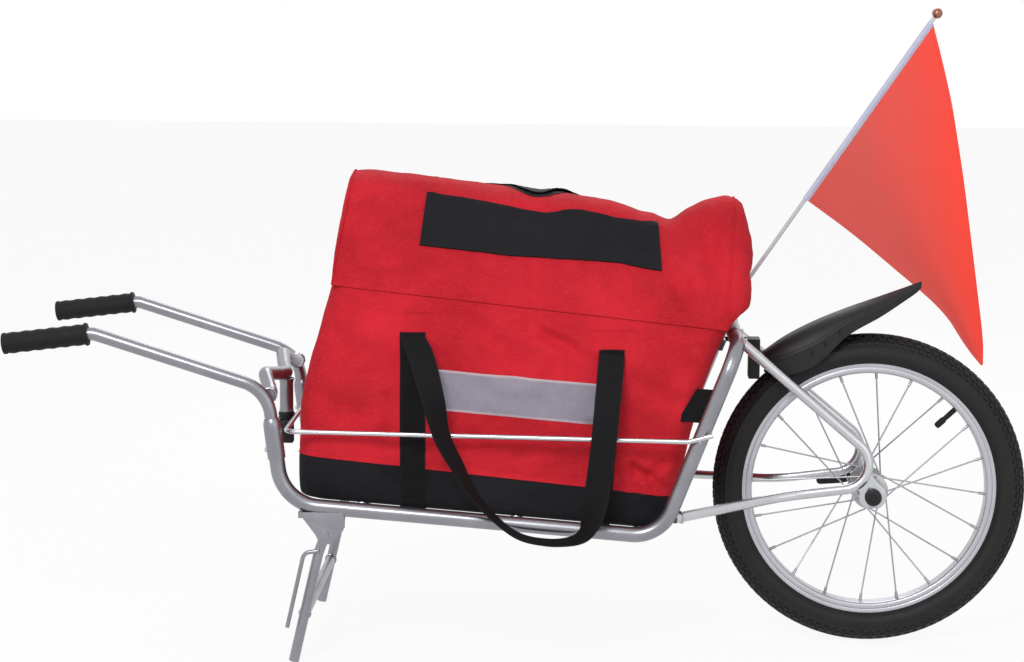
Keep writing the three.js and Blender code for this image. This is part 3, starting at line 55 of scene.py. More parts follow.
def pointing(ahead, up):
    return (at(ahead, 0, up) - at(0, 0, 0)).normalized()


# the other half of a line of points, from the middle outwards
def acrossFrom(half):
    return [Vector((point.x, -point.y, point.z)) for point in reversed(half)]


crosswise = Vector((0, 1, 0))
twoSides = (("left", -1), ("right", 1))


# camera
view = {"place": (0.09927, -3.334, 0.843), "yaw": 2.02, "pitch": 7.64, "roll": 0.38, "lens": 92.64}


def makeCamera():
    data = bpy.data.cameras.new("camera")
    data.lens = view["lens"]
    data.sensor_width = 36
    camera = bpy.data.objects.new("camera", data)
    turn = Matrix.Rotation(math.radians(view["yaw"]), 4, "Z")
    turn = turn @ Matrix.Rotation(math.radians(90 - view["pitch"]), 4, "X")
    turn = turn @ Matrix.Rotation(math.radians(view["roll"]), 4, "Z")
    camera.matrix_world = Matrix.Translation(view["place"]) @ turn
    bpy.context.collection.objects.link(camera)
    bpy.context.scene.camera = camera


makeCamera()


# modelling helpers
def clearSelection():
    if bpy.context.object and bpy.context.object.mode != "OBJECT":
        bpy.ops.object.mode_set(mode="OBJECT")
    bpy.ops.object.select_all(action="DESELECT")


def choose(*pieces):
    clearSelection()
    for piece in pieces:
        piece.select_set(True)
    bpy.context.view_layer.objects.active = pieces[0]


# the active object and its mesh take a name
def called(name):
    piece = bpy.context.object
    piece.name = name
    piece.data.name = name
    return piece


# a fresh primitive gets its name, and its place goes into its mesh
def settle(name):
    piece = called(name)
    bpy.ops.object.transform_apply(location=True, rotation=True, scale=True)
    return piece


def editAll(piece):
    choose(piece)
    bpy.ops.object.mode_set(mode="EDIT")
    bpy.ops.mesh.select_mode(type="VERT")
    bpy.ops.mesh.select_all(action="SELECT")


def leaveEdit():
    bpy.ops.object.mode_set(mode="OBJECT")


# select vertices or faces in edit mode by a test on their place
def pickVertices(piece, test):
    bpy.ops.mesh.select_mode(type="VERT")
    bpy.ops.mesh.select_all(action="DESELECT")
    shape = bmesh.from_edit_mesh(piece.data)
    for vertex in shape.verts:
        vertex.select = test(vertex.co)
    shape.select_flush(True)
    bmesh.update_edit_mesh(piece.data)


def pickFaces(piece, test):
    bpy.ops.mesh.select_mode(type="FACE")
    bpy.ops.mesh.select_all(action="DESELECT")
    shape = bmesh.from_edit_mesh(piece.data)
    for face in shape.faces:
        face.select = test(face)
    bmesh.update_edit_mesh(piece.data)


def drawOut(step):
    bpy.ops.mesh.extrude_region_move(TRANSFORM_OT_translate={"value": step})


def tidyNormals(piece, weld=1e-6):
    editAll(piece)
    bpy.ops.mesh.remove_doubles(threshold=weld)
    bpy.ops.mesh.normals_make_consistent(inside=False)
    leaveEdit()


def closeEnds(piece):
    editAll(piece)
    bpy.ops.mesh.select_all(action="DESELECT")
    bpy.ops.mesh.select_non_manifold()
    bpy.ops.mesh.fill_holes(sides=0)
    leaveEdit()


def useModifier(piece, kind, **settings):
    choose(piece)
    modifier = piece.modifiers.new(kind.lower(), kind)
    for key, value in settings.items():
        setattr(modifier, key, value)
    bpy.ops.object.modifier_apply(modifier=modifier.name)


def smooth(piece, angle=32):
    choose(piece)
    bpy.ops.object.shade_smooth_by_angle(angle=math.radians(angle))


def joined(name, *pieces):
    choose(*pieces)
    if len(pieces) > 1:
        bpy.ops.object.join()
    return called(name)


# a ring is drawn out along the straights and spun round each bend
def bentTube(name, corners, bends, radius, sides=28, bendStep=5):
    clearSelection()
    heading = (corners[1] - corners[0]).normalized()
    facing = heading.to_track_quat("Z", "Y").to_euler()
    bpy.ops.mesh.primitive_circle_add(vertices=sides, radius=radius * mm, location=corners[0],
                                      rotation=facing)
    tube = settle(name)
    editAll(tube)
    place = corners[0]
    for i in range(1, len(corners) - 1):
        onward = (corners[i + 1] - corners[i]).normalized()
        turn = heading.angle(onward)
        if turn < math.radians(0.2):
            continue
        bend = (bends[i - 1] if isinstance(bends, (list, tuple)) else bends) * mm
        reach = bend * math.tan(turn / 2)
        start = corners[i] - heading * reach
        drawOut(start - place)
        inward = (onward - heading * onward.dot(heading)).normalized()
        axis = heading.cross(inward)
        steps = max(3, math.ceil(turn / math.radians(bendStep)))
        bpy.ops.mesh.spin(steps=steps, angle=-turn, center=start + inward * bend, axis=axis)
        place = corners[i] + onward * reach
        heading = onward
    drawOut(corners[-1] - place)
    leaveEdit()
    closeEnds(tube)
    tidyNormals(tube)
    return tube


# a line of edges drawn through points, left in edit mode
def drawnLine(name, points):
    clearSelection()
    bpy.ops.mesh.primitive_plane_add(size=mm, location=points[0])
    line = settle(name)
    editAll(line)
    bpy.ops.mesh.merge(type="CENTER")
    for here, there in zip(points, points[1:]):
        drawOut(there - here)
    return line


# the far half of a profile that is the same on both sides of its middle
def turnedOver(half):
    return [(radius, -side) for radius, side in reversed(half)]


# a profile of (radius, distance) drawn edge by edge and spun once round its line
def turnedPiece(name, profile, foot, direction, steps=48):
    direction = direction.normalized()
    out = direction.orthogonal().normalized()
    points = [foot + direction * along * mm + out * radius * mm for radius, along in profile]
    piece = drawnLine(name, points)
    bpy.ops.mesh.select_all(action="SELECT")
    bpy.ops.mesh.spin(steps=steps, angle=math.tau, center=foot, axis=direction)
    leaveEdit()
    tidyNormals(piece)
    return piece


# copies of a piece turned round a line, as one piece
def ringOf(piece, count, centre, axis):
    editAll(piece)
    bpy.ops.mesh.spin(steps=count, dupli=True, angle=math.tau, center=centre, axis=axis)
    leaveEdit()
    tidyNormals(piece)
    return piece


# a line drawn through points and given a round section
def roundLine(name, points, radius, sides=4, closed=False):
    line = drawnLine(name, points)
    leaveEdit()
    choose(line)
    bpy.ops.object.convert(target="CURVE")
    line = bpy.context.object
    line.data.bevel_depth = radius * mm
    line.data.bevel_resolution = sides
    line.data.use_fill_caps = True
    line.data.splines[0].use_cyclic_u = closed
    bpy.ops.object.convert(target="MESH")
    line = called(name)
    tidyNormals(line)
    return line


# a loose CAD mesh copied, merged and given rounded edges
def softenedCopy(node, name, width, segments=2):
    choose(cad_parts[node])
    bpy.ops.object.duplicate()
    copy = called(name)
    copy.parent = None
    editAll(copy)
    bpy.ops.mesh.remove_doubles(threshold=1e-5)
    bpy.ops.mesh.dissolve_limited(angle_limit=math.radians(2))
    leaveEdit()
    useModifier(copy, "BEVEL", width=width * mm, segments=segments, limit_method="ANGLE",
                angle_limit=math.radians(35))
    return copy


# a grid of cloth laid by a function of its two shares, with its UV in metres
def laidGrid(name, columns, rows, place, size=None):
    clearSelection()
    bpy.ops.mesh.primitive_grid_add(x_subdivisions=columns, y_subdivisions=rows, size=1)
    grid = settle(name)
    shares = [(vertex.co.x + 0.5, vertex.co.y + 0.5) for vertex in grid.data.vertices]
    for vertex, (across, along) in zip(grid.data.vertices, shares):
        vertex.co = place(across, along)
    if size:
        layer = grid.data.uv_layers.active.data
        for corner in grid.data.loops:
            across, along = shares[corner.vertex_index]
            layer[corner.index].uv = (across * size[0] * mm, along * size[1] * mm)
    return grid


def dress(piece, finish):
    piece.data.materials.clear()
    piece.data.materials.append(finish)


# hand a finished piece its finish, its body and the CAD nodes that it stands for
def finishPiece(piece, finish, body="frame", nodes=(), angle=32):
    smooth(piece, angle)
    dress(piece, finish)
    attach(piece, body)
    if nodes:
        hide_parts(*nodes)


# shader maths: an operator of two amounts, or of a number and an amount when turned round
def operator(operation, turned=False):
    def apply(self, other):
        first, second = (other, self) if turned else (self, other)
        return self.mathNode(operation, first, second)
    return apply


class Amount:
    def __init__(self, finish, socket):
        self.finish = finish
        self.socket = socket

    def mathNode(self, operation, first, second):
        made = self.finish.node("ShaderNodeMath", {"operation": operation}, {0: first, 1: second})
        return Amount(self.finish, made.outputs[0])

    __add__, __radd__ = operator("ADD"), operator("ADD", True)
    __sub__, __rsub__ = operator("SUBTRACT"), operator("SUBTRACT", True)
    __mul__, __rmul__ = operator("MULTIPLY"), operator("MULTIPLY", True)
    __gt__, __lt__ = operator("GREATER_THAN"), operator("LESS_THAN")
    __truediv__ = operator("DIVIDE")

    def __abs__(self):
        return self.mathNode("ABSOLUTE", self, 0)

    def sine(self):
        return self.mathNode("SINE", self, 0)

    def fraction(self):
        return self.mathNode("FRACT", self, 0)


class Finish:
    def __init__(self, name, kind="materials"):
        self.material = getattr(bpy.data, kind).new(name)
        self.material.use_nodes = True
        self.tree = self.material.node_tree
        self.tree.nodes.clear()

    # a node by its type: settings first, then values or links for its sockets
    def node(self, kind, settings=None, sockets=None):
        made = self.tree.nodes.new(kind)
        for key, value in (settings or {}).items():
            if key == "stops":
                while len(made.color_ramp.elements) < len(value):
                    made.color_ramp.elements.new(0.5)
                for stop, (place, colour) in zip(made.color_ramp.elements, value):
                    stop.position = place
                    stop.color = colour
            else:
                setattr(made, key, value)
        for key, value in (sockets or {}).items():
            if isinstance(value, Amount):
                self.tree.links.new(value.socket, made.inputs[key])
            elif isinstance(value, bpy.types.NodeSocket):
                self.tree.links.new(value, made.inputs[key])
            else:
                made.inputs[key].default_value = value
        return made

    def amount(self, socket):
        return Amount(self, socket)

    # object coordinates in metres, as three amounts and the vector itself
    def place(self):
        coordinates = self.node("ShaderNodeTexCoord").outputs["Object"]
        split = self.node("ShaderNodeSeparateXYZ", None, {0: coordinates})
        return coordinates, [self.amount(output) for output in split.outputs]

    def clothPlace(self):
        coordinates = self.node("ShaderNodeTexCoord").outputs["UV"]
        split = self.node("ShaderNodeSeparateXYZ", None, {0: coordinates})
        return coordinates, self.amount(split.outputs[0]), self.amount(split.outputs[1])

    def cloudy(self, coordinates, scale, detail=3, roughness=0.55):
        sockets = {"Vector": coordinates, "Scale": scale, "Detail": detail, "Roughness": roughness}
        return self.amount(self.node("ShaderNodeTexNoise", None, sockets).outputs["Fac"])

    def stretched(self, coordinates, scale):
        return self.node("ShaderNodeMapping", None, {"Vector": coordinates, "Scale": scale}).outputs[0]

    def blendOf(self, share, first, second):
        sockets = {0: share, 6: first, 7: second}
        made = self.node("ShaderNodeMix", {"data_type": "RGBA"}, sockets)
        return made.outputs[2]

    def spread(self, amount, fromLow, fromHigh, toLow, toHigh):
        sockets = {0: amount, 1: fromLow, 2: fromHigh, 3: toLow, 4: toHigh}
        return self.amount(self.node("ShaderNodeMapRange", {"clamp": True}, sockets).outputs[0])

    def bump(self, height, distance, strength=1.0, under=None):
        sockets = {"Height": height, "Distance": distance, "Strength": strength}
        if under is not None:
            sockets["Normal"] = under
        return self.node("ShaderNodeBump", None, sockets).outputs[0]

    # one for rays that come from the camera, straight or by way of gloss or glass
    def seen(self):
        rays = self.node("ShaderNodeLightPath").outputs
        kinds = ("Camera", "Glossy", "Transmission")
        camera, glossy, clear = [self.amount(rays[f"Is {kind} Ray"]) for kind in kinds]
        return camera + glossy + clear

    def surface(self, **sockets):
        named = {key.replace("_", " "): value for key, value in sockets.items()}
        shader = self.node("ShaderNodeBsdfPrincipled", None, named)
        self.node("ShaderNodeOutputMaterial", None, {"Surface": shader.outputs[0]})
        return self.material


def shade(red, green, blue):
    def straight(value):
        value = value / 255
        return value / 12.92 if value <= 0.04045 else ((value + 0.055) / 1.055) ** 2.4
    return (straight(red), straight(green), straight(blue), 1)


# finishes
metalLook = {
    "silver": {"light": (160, 160, 166), "dark": (126, 126, 133), "rough": 0.25, "metal": 0.9},
    # bright: real bright steel for the axle parts, washer and pins, and painted light on the stays, dropouts
    # and hoop: a lighter copy of the silver paint for the light on them
    "bright": {"light": (208, 209, 212), "dark": (184, 185, 189), "rough": 0.24, "metal": 0.95},
    "rim": {"light": (196, 196, 202), "dark": (174, 174, 181), "rough": 0.32, "metal": 0.8},
    "spoke": {"light": (188, 189, 192), "dark": (150, 151, 155), "rough": 0.28, "metal": 0.9},
    "copper": {"light": (176, 128, 108), "dark": (128, 84, 68), "rough": 0.26, "metal": 0.9},
}


def metalFinish(name, look):
    finish = Finish(name)
    coordinates, _ = finish.place()
    patches = finish.cloudy(coordinates, 22, 4, 0.6)
    fine = finish.cloudy(coordinates, 900, 2, 0.5)
    drawn = finish.cloudy(finish.stretched(coordinates, (60, 60, 60)), 12, 5, 0.7)
    scuffs = finish.spread(drawn, 0.56, 0.72, 0, 1)
    colour = finish.blendOf(patches, shade(*look["light"]), shade(*look["dark"]))
    worn = finish.blendOf(scuffs * 0.25, colour, shade(118, 118, 122))
    rough = look["rough"] + 0.1 * patches + 0.12 * scuffs
    normal = finish.bump(fine + 0.5 * drawn, 0.00006, 0.6)
    return finish.surface(Base_Color=worn, Roughness=rough, Metallic=look["metal"], Normal=normal)


rubberLook = {
    "tyre": {"colour": (14, 14, 16), "dust": (40, 39, 41), "rough": 0.5, "grain": 500, "height": 0.00012},
    "grip": {"colour": (9, 9, 11), "dust": (28, 28, 31), "rough": 0.6, "grain": 1300, "height": 0.00025},
    "plastic": {"colour": (18, 18, 21), "dust": (46, 47, 51), "rough": 0.42, "grain": 900, "height": 0.00006},
    "guard": {"colour": (15, 15, 18), "dust": (34, 34, 37), "rough": 0.38, "grain": 1500, "height": 0.00008},
    "fibre": {"colour": (200, 202, 208), "dust": (178, 181, 190), "rough": 0.34, "grain": 700,
              "height": 0.00004},
}


def rubberFinish(name, look):
    finish = Finish(name)
    coordinates, _ = finish.place()
    patches = finish.cloudy(coordinates, 30, 4, 0.6)
    grain = finish.cloudy(coordinates, look["grain"], 3, 0.6)
    dusty = finish.spread(patches, 0.45, 0.75, 0, 0.55)
    colour = finish.blendOf(dusty * grain, shade(*look["colour"]), shade(*look["dust"]))
    rough = look["rough"] + 0.16 * patches + 0.08 * grain
    normal = finish.bump(grain, look["height"], 0.8)
    return finish.surface(Base_Color=colour, Roughness=rough, Normal=normal, Specular_IOR_Level=0.35)


fabricLook = {
    "red": {"colour": (212, 34, 49), "deep": (176, 20, 34), "faded": (224, 62, 74), "rough": 0.76},
    "black": {"colour": (30, 29, 34), "deep": (14, 14, 17), "faded": (48, 48, 54), "rough": 0.78},
    "window": {"colour": (20, 19, 25), "deep": (11, 11, 15), "faded": (32, 32, 38), "rough": 0.7},
    "hem": {"colour": (206, 209, 228), "deep": (186, 190, 212), "faded": (224, 226, 238), "rough": 0.6},
}


# woven cloth: over and under threads, slight creases and uneven dye
def fabricFinish(name, look, thread=0.0011):
    finish = Finish(name)
    coordinates, (x, y, z) = finish.place()
    turns = math.tau / (2 * thread)
    warp = ((x + y) * turns).sine()
    weft = ((z + y * 0.3) * turns).sine()
    weave = warp * weft
    dye = finish.cloudy(coordinates, 9, 5, 0.62)
    slubs = finish.cloudy(finish.stretched(coordinates, (1, 1, 6)), 160, 3, 0.6)
    creases = finish.cloudy(coordinates, 34, 6, 0.68)
    handled = finish.spread(dye, 0.35, 0.72, 0, 1)
    colour = finish.blendOf(handled, shade(*look["deep"]), shade(*look["colour"]))
    colour = finish.blendOf(finish.spread(slubs, 0.5, 0.85, 0, 0.5), colour, shade(*look["faded"]))
    rough = look["rough"] + 0.12 * slubs - 0.05 * weave
    soft = finish.bump(creases, 0.0022, 0.45)
    normal = finish.bump(weave + slubs, 0.00022, 0.55, soft)
    return finish.surface(Base_Color=colour, Roughness=rough, Normal=normal, Specular_IOR_Level=0.22)


# ribbed tape with its own UV: across, then along, in metres
def tapeFinish(name, colour, edge, width, rough=0.7, rib=0.0012, stitch=True):
    finish = Finish(name)
    coordinates, across, along = finish.clothPlace()
    ribs = (along * (math.tau / rib) + (across * (math.tau / (rib * 2))).sine() * 1.2).sine()
    fromEdge = 0.5 - abs(across / width - 0.5)
    hem = finish.spread(fromEdge, 0.03, 0.07, 1, 0)
    wear = finish.cloudy(coordinates, 60, 4, 0.6)
    mixed = finish.blendOf(hem * 0.5 + wear * 0.3, shade(*colour), shade(*edge))
    if stitch:
        row = finish.spread(abs(fromEdge - 0.11), 0.012, 0.02, 1, 0)
        dash = (along * (1 / 0.0042)).fraction() < 0.62
        sewn = row * dash
        mixed = finish.blendOf(sewn * 0.55, mixed, shade(*edge))
        height = ribs * 0.5 + sewn * 1.6
    else:
        height = ribs * 0.5
    normal = finish.bump(height, 0.00028, 0.7)
    return finish.surface(Base_Color=mixed, Roughness=rough + wear * 0.15, Normal=normal,
                          Specular_IOR_Level=0.2)


# thin nylon: dull red by the hem and painted lighter towards its free edge, as painted light for the light
# through the thin cloth, with stitched edges
# dull is the red by the hem; bright is the same red painted lighter towards the free edge, as painted light
pennantLook = {"dull": (214, 78, 70), "bright": (250, 62, 44), "hoist": 0.284, "reach": 0.345, "rough": 0.55}


def pennantFinish(name, look):
    finish = Finish(name)
    _, across, along = finish.clothPlace()
    place, (x, _, z) = finish.place()
    share = across / look["hoist"] + along / look["reach"] * 0.45
    cloud = finish.cloudy(place, 14, 4, 0.6)
    # painted light: the share that lightens the cloth towards its free edge, for the light through the nylon
    paintedLight = finish.spread(share + cloud * 0.3, 0.55, 1.3, 0, 1)
    colour = finish.blendOf(paintedLight, shade(*look["dull"]), shade(*look["bright"]))
    turns = math.tau / 0.0012
    weave = ((x + z * 0.6) * turns).sine() * ((z - x * 0.6) * turns).sine()
    lower = finish.spread(abs(across - 0.005), 0.0004, 0.0008, 1, 0)
    upper = finish.spread(abs(across - look["hoist"] + 0.005), 0.0004, 0.0008, 1, 0)
    sewn = (lower + upper) * ((along * (1 / 0.004)).fraction() < 0.6)
    colour = finish.blendOf(sewn * 0.4, colour, shade(168, 44, 40))
    soft = finish.bump(finish.cloudy(place, 30, 5, 0.65), 0.0014, 0.35)
    normal = finish.bump(weave * 0.6 - sewn, 0.00012, 0.5, soft)
    return finish.surface(Base_Color=colour, Roughness=look["rough"] + cloud * 0.1, Normal=normal)


silver = metalFinish("silverPaint", metalLook["silver"])
# bright steel for the axle parts, washer and pins; on the stays, dropouts and hoop it is painted light, the
# silver paint made lighter where the light falls on them
bright = metalFinish("brightSteelAndLitPaint", metalLook["bright"])
rimAlloy = metalFinish("rimAlloy", metalLook["rim"])
spokeSteel = metalFinish("spokeSteel", metalLook["spoke"])
tyreRubber = rubberFinish("tyreRubber", rubberLook["tyre"])
gripRubber = rubberFinish("gripRubber", rubberLook["grip"])
plastic = rubberFinish("blackPlastic", rubberLook["plastic"])
guardPlastic = rubberFinish("guardPlastic", rubberLook["guard"])
poleFibre = rubberFinish("poleFibre", rubberLook["fibre"])
ballCopper = metalFinish("ballCopper", metalLook["copper"])
hemCloth = fabricFinish("hemFabric", fabricLook["hem"])
pennantCloth = pennantFinish("pennantNylon", pennantLook)
redCloth = fabricFinish("redFabric", fabricLook["red"])
blackCloth = fabricFinish("blackFabric", fabricLook["black"])
windowCloth = fabricFinish("windowFabric", fabricLook["window"], 0.0014)
webbingTape = tapeFinish("webbingTape", (8, 7, 10), (24, 23, 27), 0.031)
reflectiveTape = tapeFinish("reflectiveTape", (128, 127, 141), (206, 184, 192), 0.05, 0.5, 0.0024, False)
print("finishes ready")

# rails
rails = {"half": 160, "radius": 9.5, "front": 54, "rear": 48, "top": 40, "topHalf": 66, "floorRadius": 8,
         "floorPlaces": (636, 446, 294), "topUp": 401, "deck": (588, 188.5), "post": (740, 256),
         "rearPost": (250, 211), "postTop": 288}
deckSlope = math.radians(4.36)
postLean = math.radians(7.5)
rearLean = math.radians(21.2)


def deckUp(ahead):
    return rails["deck"][1] + (ahead - rails["deck"][0]) * math.tan(deckSlope)


def postAhead(up):
    return rails["post"][0] + (up - rails["post"][1]) * math.tan(postLean)


def rearPostAhead(up):
    return rails["rearPost"][0] - (up - rails["rearPost"][1]) * math.tan(rearLean)


def railCorners(side):
    y = side * rails["half"]
    frontAhead = postAhead(deckUp(rails["post"][0]))
    rise = math.tan(deckSlope) + 1 / math.tan(rearLean)
    footAhead, footUp = rails["rearPost"]
    rearAhead = footAhead + (footUp - deckUp(footAhead)) / rise
    top = rails["topUp"]
    return [
        at(postAhead(rails["postTop"]), y, rails["postTop"]),
        at(frontAhead, y, deckUp(frontAhead)),
        at(rearAhead, y, deckUp(rearAhead)),
        at(rearPostAhead(top), y, top),
        at(rearPostAhead(top), side * rails["topHalf"], top),
    ]


# a rippled bead of weld round a tube end
def weldBead(place, direction, radius, thick=1.5):
    facing = direction.normalized().to_track_quat("Z", "Y").to_euler()
    bpy.ops.object.select_all(action="DESELECT")
    bpy.ops.mesh.primitive_torus_add(location=place, rotation=facing, major_radius=radius * mm,
                                     minor_radius=thick * mm, major_segments=40, minor_segments=8)
    bead = settle("bead")
    for i, vertex in enumerate(bead.data.vertices):
        out = (vertex.co - place).normalized()
        vertex.co += out * (0.35 * mm * math.sin(i // 8 * 1.9))
    return bead


def makeRails():
    bends = [rails["front"], rails["rear"], rails["top"]]
    for name, side in twoSides:
        rail = bentTube(f"{name}_rail_tube", railCorners(side), bends, rails["radius"], 36, 4)
        finishPiece(rail, silver, "frame", [f"{name}_rail"])
    top = rails["topUp"]
    reach = rails["topHalf"] - 0.3
    ends = [at(rearPostAhead(top), -reach, top), at(rearPostAhead(top), reach, top)]
    tube = bentTube("top_cross_tube_round", ends, [], rails["radius"], 36)
    seams = [weldBead(at(rearPostAhead(top), side * (reach - 0.5), top), crosswise, rails["radius"] - 0.9)
             for side in (-1, 1)]
    finishPiece(joined("top_cross_tube_round", tube, *seams), silver, "frame", ["top_cross_tube"])
    for i, ahead in enumerate(rails["floorPlaces"]):
        up = deckUp(ahead)
        inner = rails["half"] - rails["radius"] * 0.6
        node = f"floor_tube_{i + 1}"
        tube = bentTube(f"{node}_round", [at(ahead, -inner, up), at(ahead, inner, up)], [],
                        rails["floorRadius"], 32)
        beads = [weldBead(at(ahead, side * (rails["half"] - rails["radius"]), up), crosswise,
                          rails["floorRadius"]) for side in (-1, 1)]
        finishPiece(joined(f"{node}_round", tube, *beads), silver, "frame", [node])


makeRails()
print("rails done")

# hairpin stays
stays = {"radius": 6.35, "bend": 32, "flareBend": 90,
         "corners": [(174, 45, 396), (-38, 62, 217), (112, 62, 197.5), (251, 153, 186)]}


def makeStays():
    for name, side in twoSides:
        corners = [at(ahead, side * out, up) for ahead, out, up in stays["corners"]]
        stay = bentTube(f"{name}_stay_tube", corners, [stays["bend"], stays["flareBend"]], stays["radius"],
                        28, 4)
        first = corners[1] - corners[0]
        last = corners[3] - corners[2]
        beads = [
            weldBead(corners[0] + first.normalized() * 11 * mm, first, stays["radius"] + 0.2),
            weldBead(corners[3] - last.normalized() * 9 * mm, last, stays["radius"] + 0.4),
        ]
        # painted light: the stays and their dropouts take the lighter bright finish in place of the silver
        # paint, for the light on the rear of the frame
        finishPiece(joined(f"{name}_stay_tube", stay, *beads), bright, "frame", [f"{name}_stay"])
        plate = softenedCopy(f"{name}_dropout", f"{name}_dropout_plate", 0.6)
        finishPiece(plate, bright, "frame", [f"{name}_dropout"])


makeStays()
print("stays done")

# handles
handles = {"radius": 8, "bend": 48, "gripBend": 27, "gripLength": 106, "gripRadius": 13.2, "wave": 0.9,
           "foot": 288.3, "corner": 341, "grip": (965, 408), "run": 109}
gripDroop = math.radians(7.1)
gripLine = pointing(math.cos(gripDroop), -math.sin(gripDroop))


def makeHandle(name, side):
    y = side * rails["half"]
    foot, corner = handles["foot"], handles["corner"]
    start = at(handles["grip"][0], y, handles["grip"][1])
    end = start + gripLine * handles["run"] * mm
    corners = [at(postAhead(foot), y, foot), at(postAhead(corner), y, corner), start, end]
    tube = bentTube(f"{name}_handle_bar", corners, [handles["bend"], handles["gripBend"]],
                    handles["radius"], 32, 4)
    finishPiece(tube, silver, "frame", [f"{name}_handle_tube"])

    # the sleeve is swaged: a step at its top where it closes on the thinner tube
    lean = pointing(math.sin(postLean), math.cos(postLean))
    profile = [(9.8, 0), (10.9, 0.2), (11, 1.4), (10.9, 2.4), (11, 3.4), (11, 38), (10.7, 44), (9.6, 48),
               (8.6, 50), (8.3, 50)]
    post = at(rails["post"][0], y, rails["post"][1])
    sleeve = turnedPiece(f"{name}_post_sleeve", profile, post, lean, 40)
    useModifier(sleeve, "SOLIDIFY", thickness=0.5 * mm, offset=-1)
    finishPiece(sleeve, silver, "frame", [f"{name}_sleeve"], 50)

    # the grip: finger waves, fine ribs and a lip at each end
    count = 72
    length = handles["gripLength"]
    wave = handles["wave"]
    profile = [(8.4, 0), (13.4, 0), (14.1, 0.8), (14.1, 3.4), (13.4, 4)]
    for i in range(count + 1):
        share = i / count
        swell = -wave * math.cos(share * 6 * math.tau) / 2 - wave / 2
        rib = 0.22 * math.cos(i * math.pi)
        profile.append((handles["gripRadius"] + swell + rib, 4.2 + (length - 9.4) * share))
    profile += [(13.2, length - 4), (13.2, length - 1.2), (12.4, length - 0.3), (11.4, length), (3.6, length),
                (3.2, length - 0.8), (0, length - 0.8)]
    grip = turnedPiece(f"{name}_hand_grip", profile, start + gripLine * 6 * mm, gripLine, 48)
    finishPiece(grip, gripRubber, "frame", [f"{name}_grip"], 40)


for name, side in twoSides:
    makeHandle(name, side)
print("handles done")
bpy.context.view_layer.update()

# yoke between the handles
yoke = {"radius": 8.6, "start": 333, "reach": 152, "bulge": 13, "rise": 18, "bend": 24, "middle": 747,
        "middleUp": 338.6, "seatUp": 330.6}


def makeYoke():
    reach, up = yoke["reach"], yoke["start"]
    ahead = postAhead(up)
    bulge, rise, middle = yoke["bulge"], yoke["rise"], yoke["middle"]
    half = [
        at(ahead, -reach, up),
        at(ahead, -reach * 0.86, up),
        at(ahead + bulge, -reach * 0.6, up + rise),
        at(middle + bulge / 2, -reach * 0.2, up + rise / 2),
        at(middle, 0, yoke["middleUp"]),
    ]
    tube = bentTube("yoke_tube", half + acrossFrom(half[:-1]), yoke["bend"], yoke["radius"], 28, 6)
    beads = [weldBead(at(ahead, side * 152.6, up), crosswise, yoke["radius"]) for side in (-1, 1)]
    beads.append(weldBead(at(middle, 0, yoke["seatUp"]), Vector((0, 0, 1)), 9.2, 1.3))
    finishPiece(joined("yoke_tube", tube, *beads), silver, "frame", ["yoke"])


# head tube, collar, hitch block, knob and snap buttons
def makeHitch():
    up = Vector((0, 0, 1))
    foot = at(yoke["middle"], 0, 0)
    shell = [(6.6, 288), (9, 288), (9.2, 288.4), (9.2, 291), (8.7, 292), (8.7, 326), (9.2, 327), (9.2, 330),
             (6.6, 330), (6.6, 288)]
    tube = turnedPiece("head_tube_shell", shell, foot, up, 40)
    finishPiece(tube, silver, "frame", ["head_tube"], 40)
    ring = [(6.4, 278.7), (9.9, 278.7), (10.5, 279.4), (10.5, 282), (10, 282.4), (10, 283.6), (10.5, 284),
            (10.5, 287), (9.9, 287.7), (6.4, 287.7), (6.4, 278.7)]
    collar = turnedPiece("head_collar_ring", ring, foot, up, 40)
    finishPiece(collar, plastic, "frame", ["head_collar"], 40)
    block = softenedCopy("hitch_block", "hitch_block_body", 1.1, 3)
    finishPiece(block, plastic, "hitch", ["hitch_block"])
    blockTop = 278.4
    middle = at(yoke["middle"], -9.5, blockTop - 7.5)
    left = Vector((0, -1, 0))
    plate = [(2.1, 0.3), (6.1, 0.3), (6.4, 0.6), (6.4, 1.6), (6.1, 1.9), (2.1, 1.9), (2.1, 0.3)]
    washer = turnedPiece("hitch_washer", plate, middle, left, 40)
    profile = [(0, -6), (2, -6), (2, 0.4), (4.2, 0.4), (4.2, 2), (6, 2), (6.4, 2.5), (6.4, 9), (6, 10.2),
               (4.6, 10.9), (0, 10.9)]
    knob = turnedPiece("hitch_knob_grip", profile, middle, left, 40)

    # every fourth face round the rim, sunk as a groove
    def groove(face):
        sector = int(math.atan2(face.normal.x, face.normal.z) / math.tau * 40 + 40)
        onRim = abs(face.normal.y) < 0.2 and face.calc_center_median().y < middle.y - 2.4 * mm
        return onRim and sector % 4 == 0
    editAll(knob)
    pickFaces(knob, groove)
    bpy.ops.mesh.inset(thickness=0.15 * mm, depth=-0.5 * mm)
    leaveEdit()
    finishPiece(knob, plastic, "knob", ["hitch_knob"], 30)
    finishPiece(washer, bright, "knob", [], 30)
    out = pointing(math.cos(postLean), -math.sin(postLean))
    pin = [(0, -6), (3, -6), (3, 12.2), (2.7, 13), (1.6, 13.5), (0, 13.6)]
    for name, side in twoSides:
        centre = at(postAhead(268), side * rails["half"], 268)
        button = turnedPiece(f"{name}_button_pin", pin, centre, out, 28)
        finishPiece(button, bright, f"{name}_button", [f"{name}_snap_button"], 40)


makeYoke()
makeHitch()

# the bag's wire hoop
hoop = {"radius": 3, "frontUp": 289, "rearUp": 285, "bend": 16, "hook": 6}


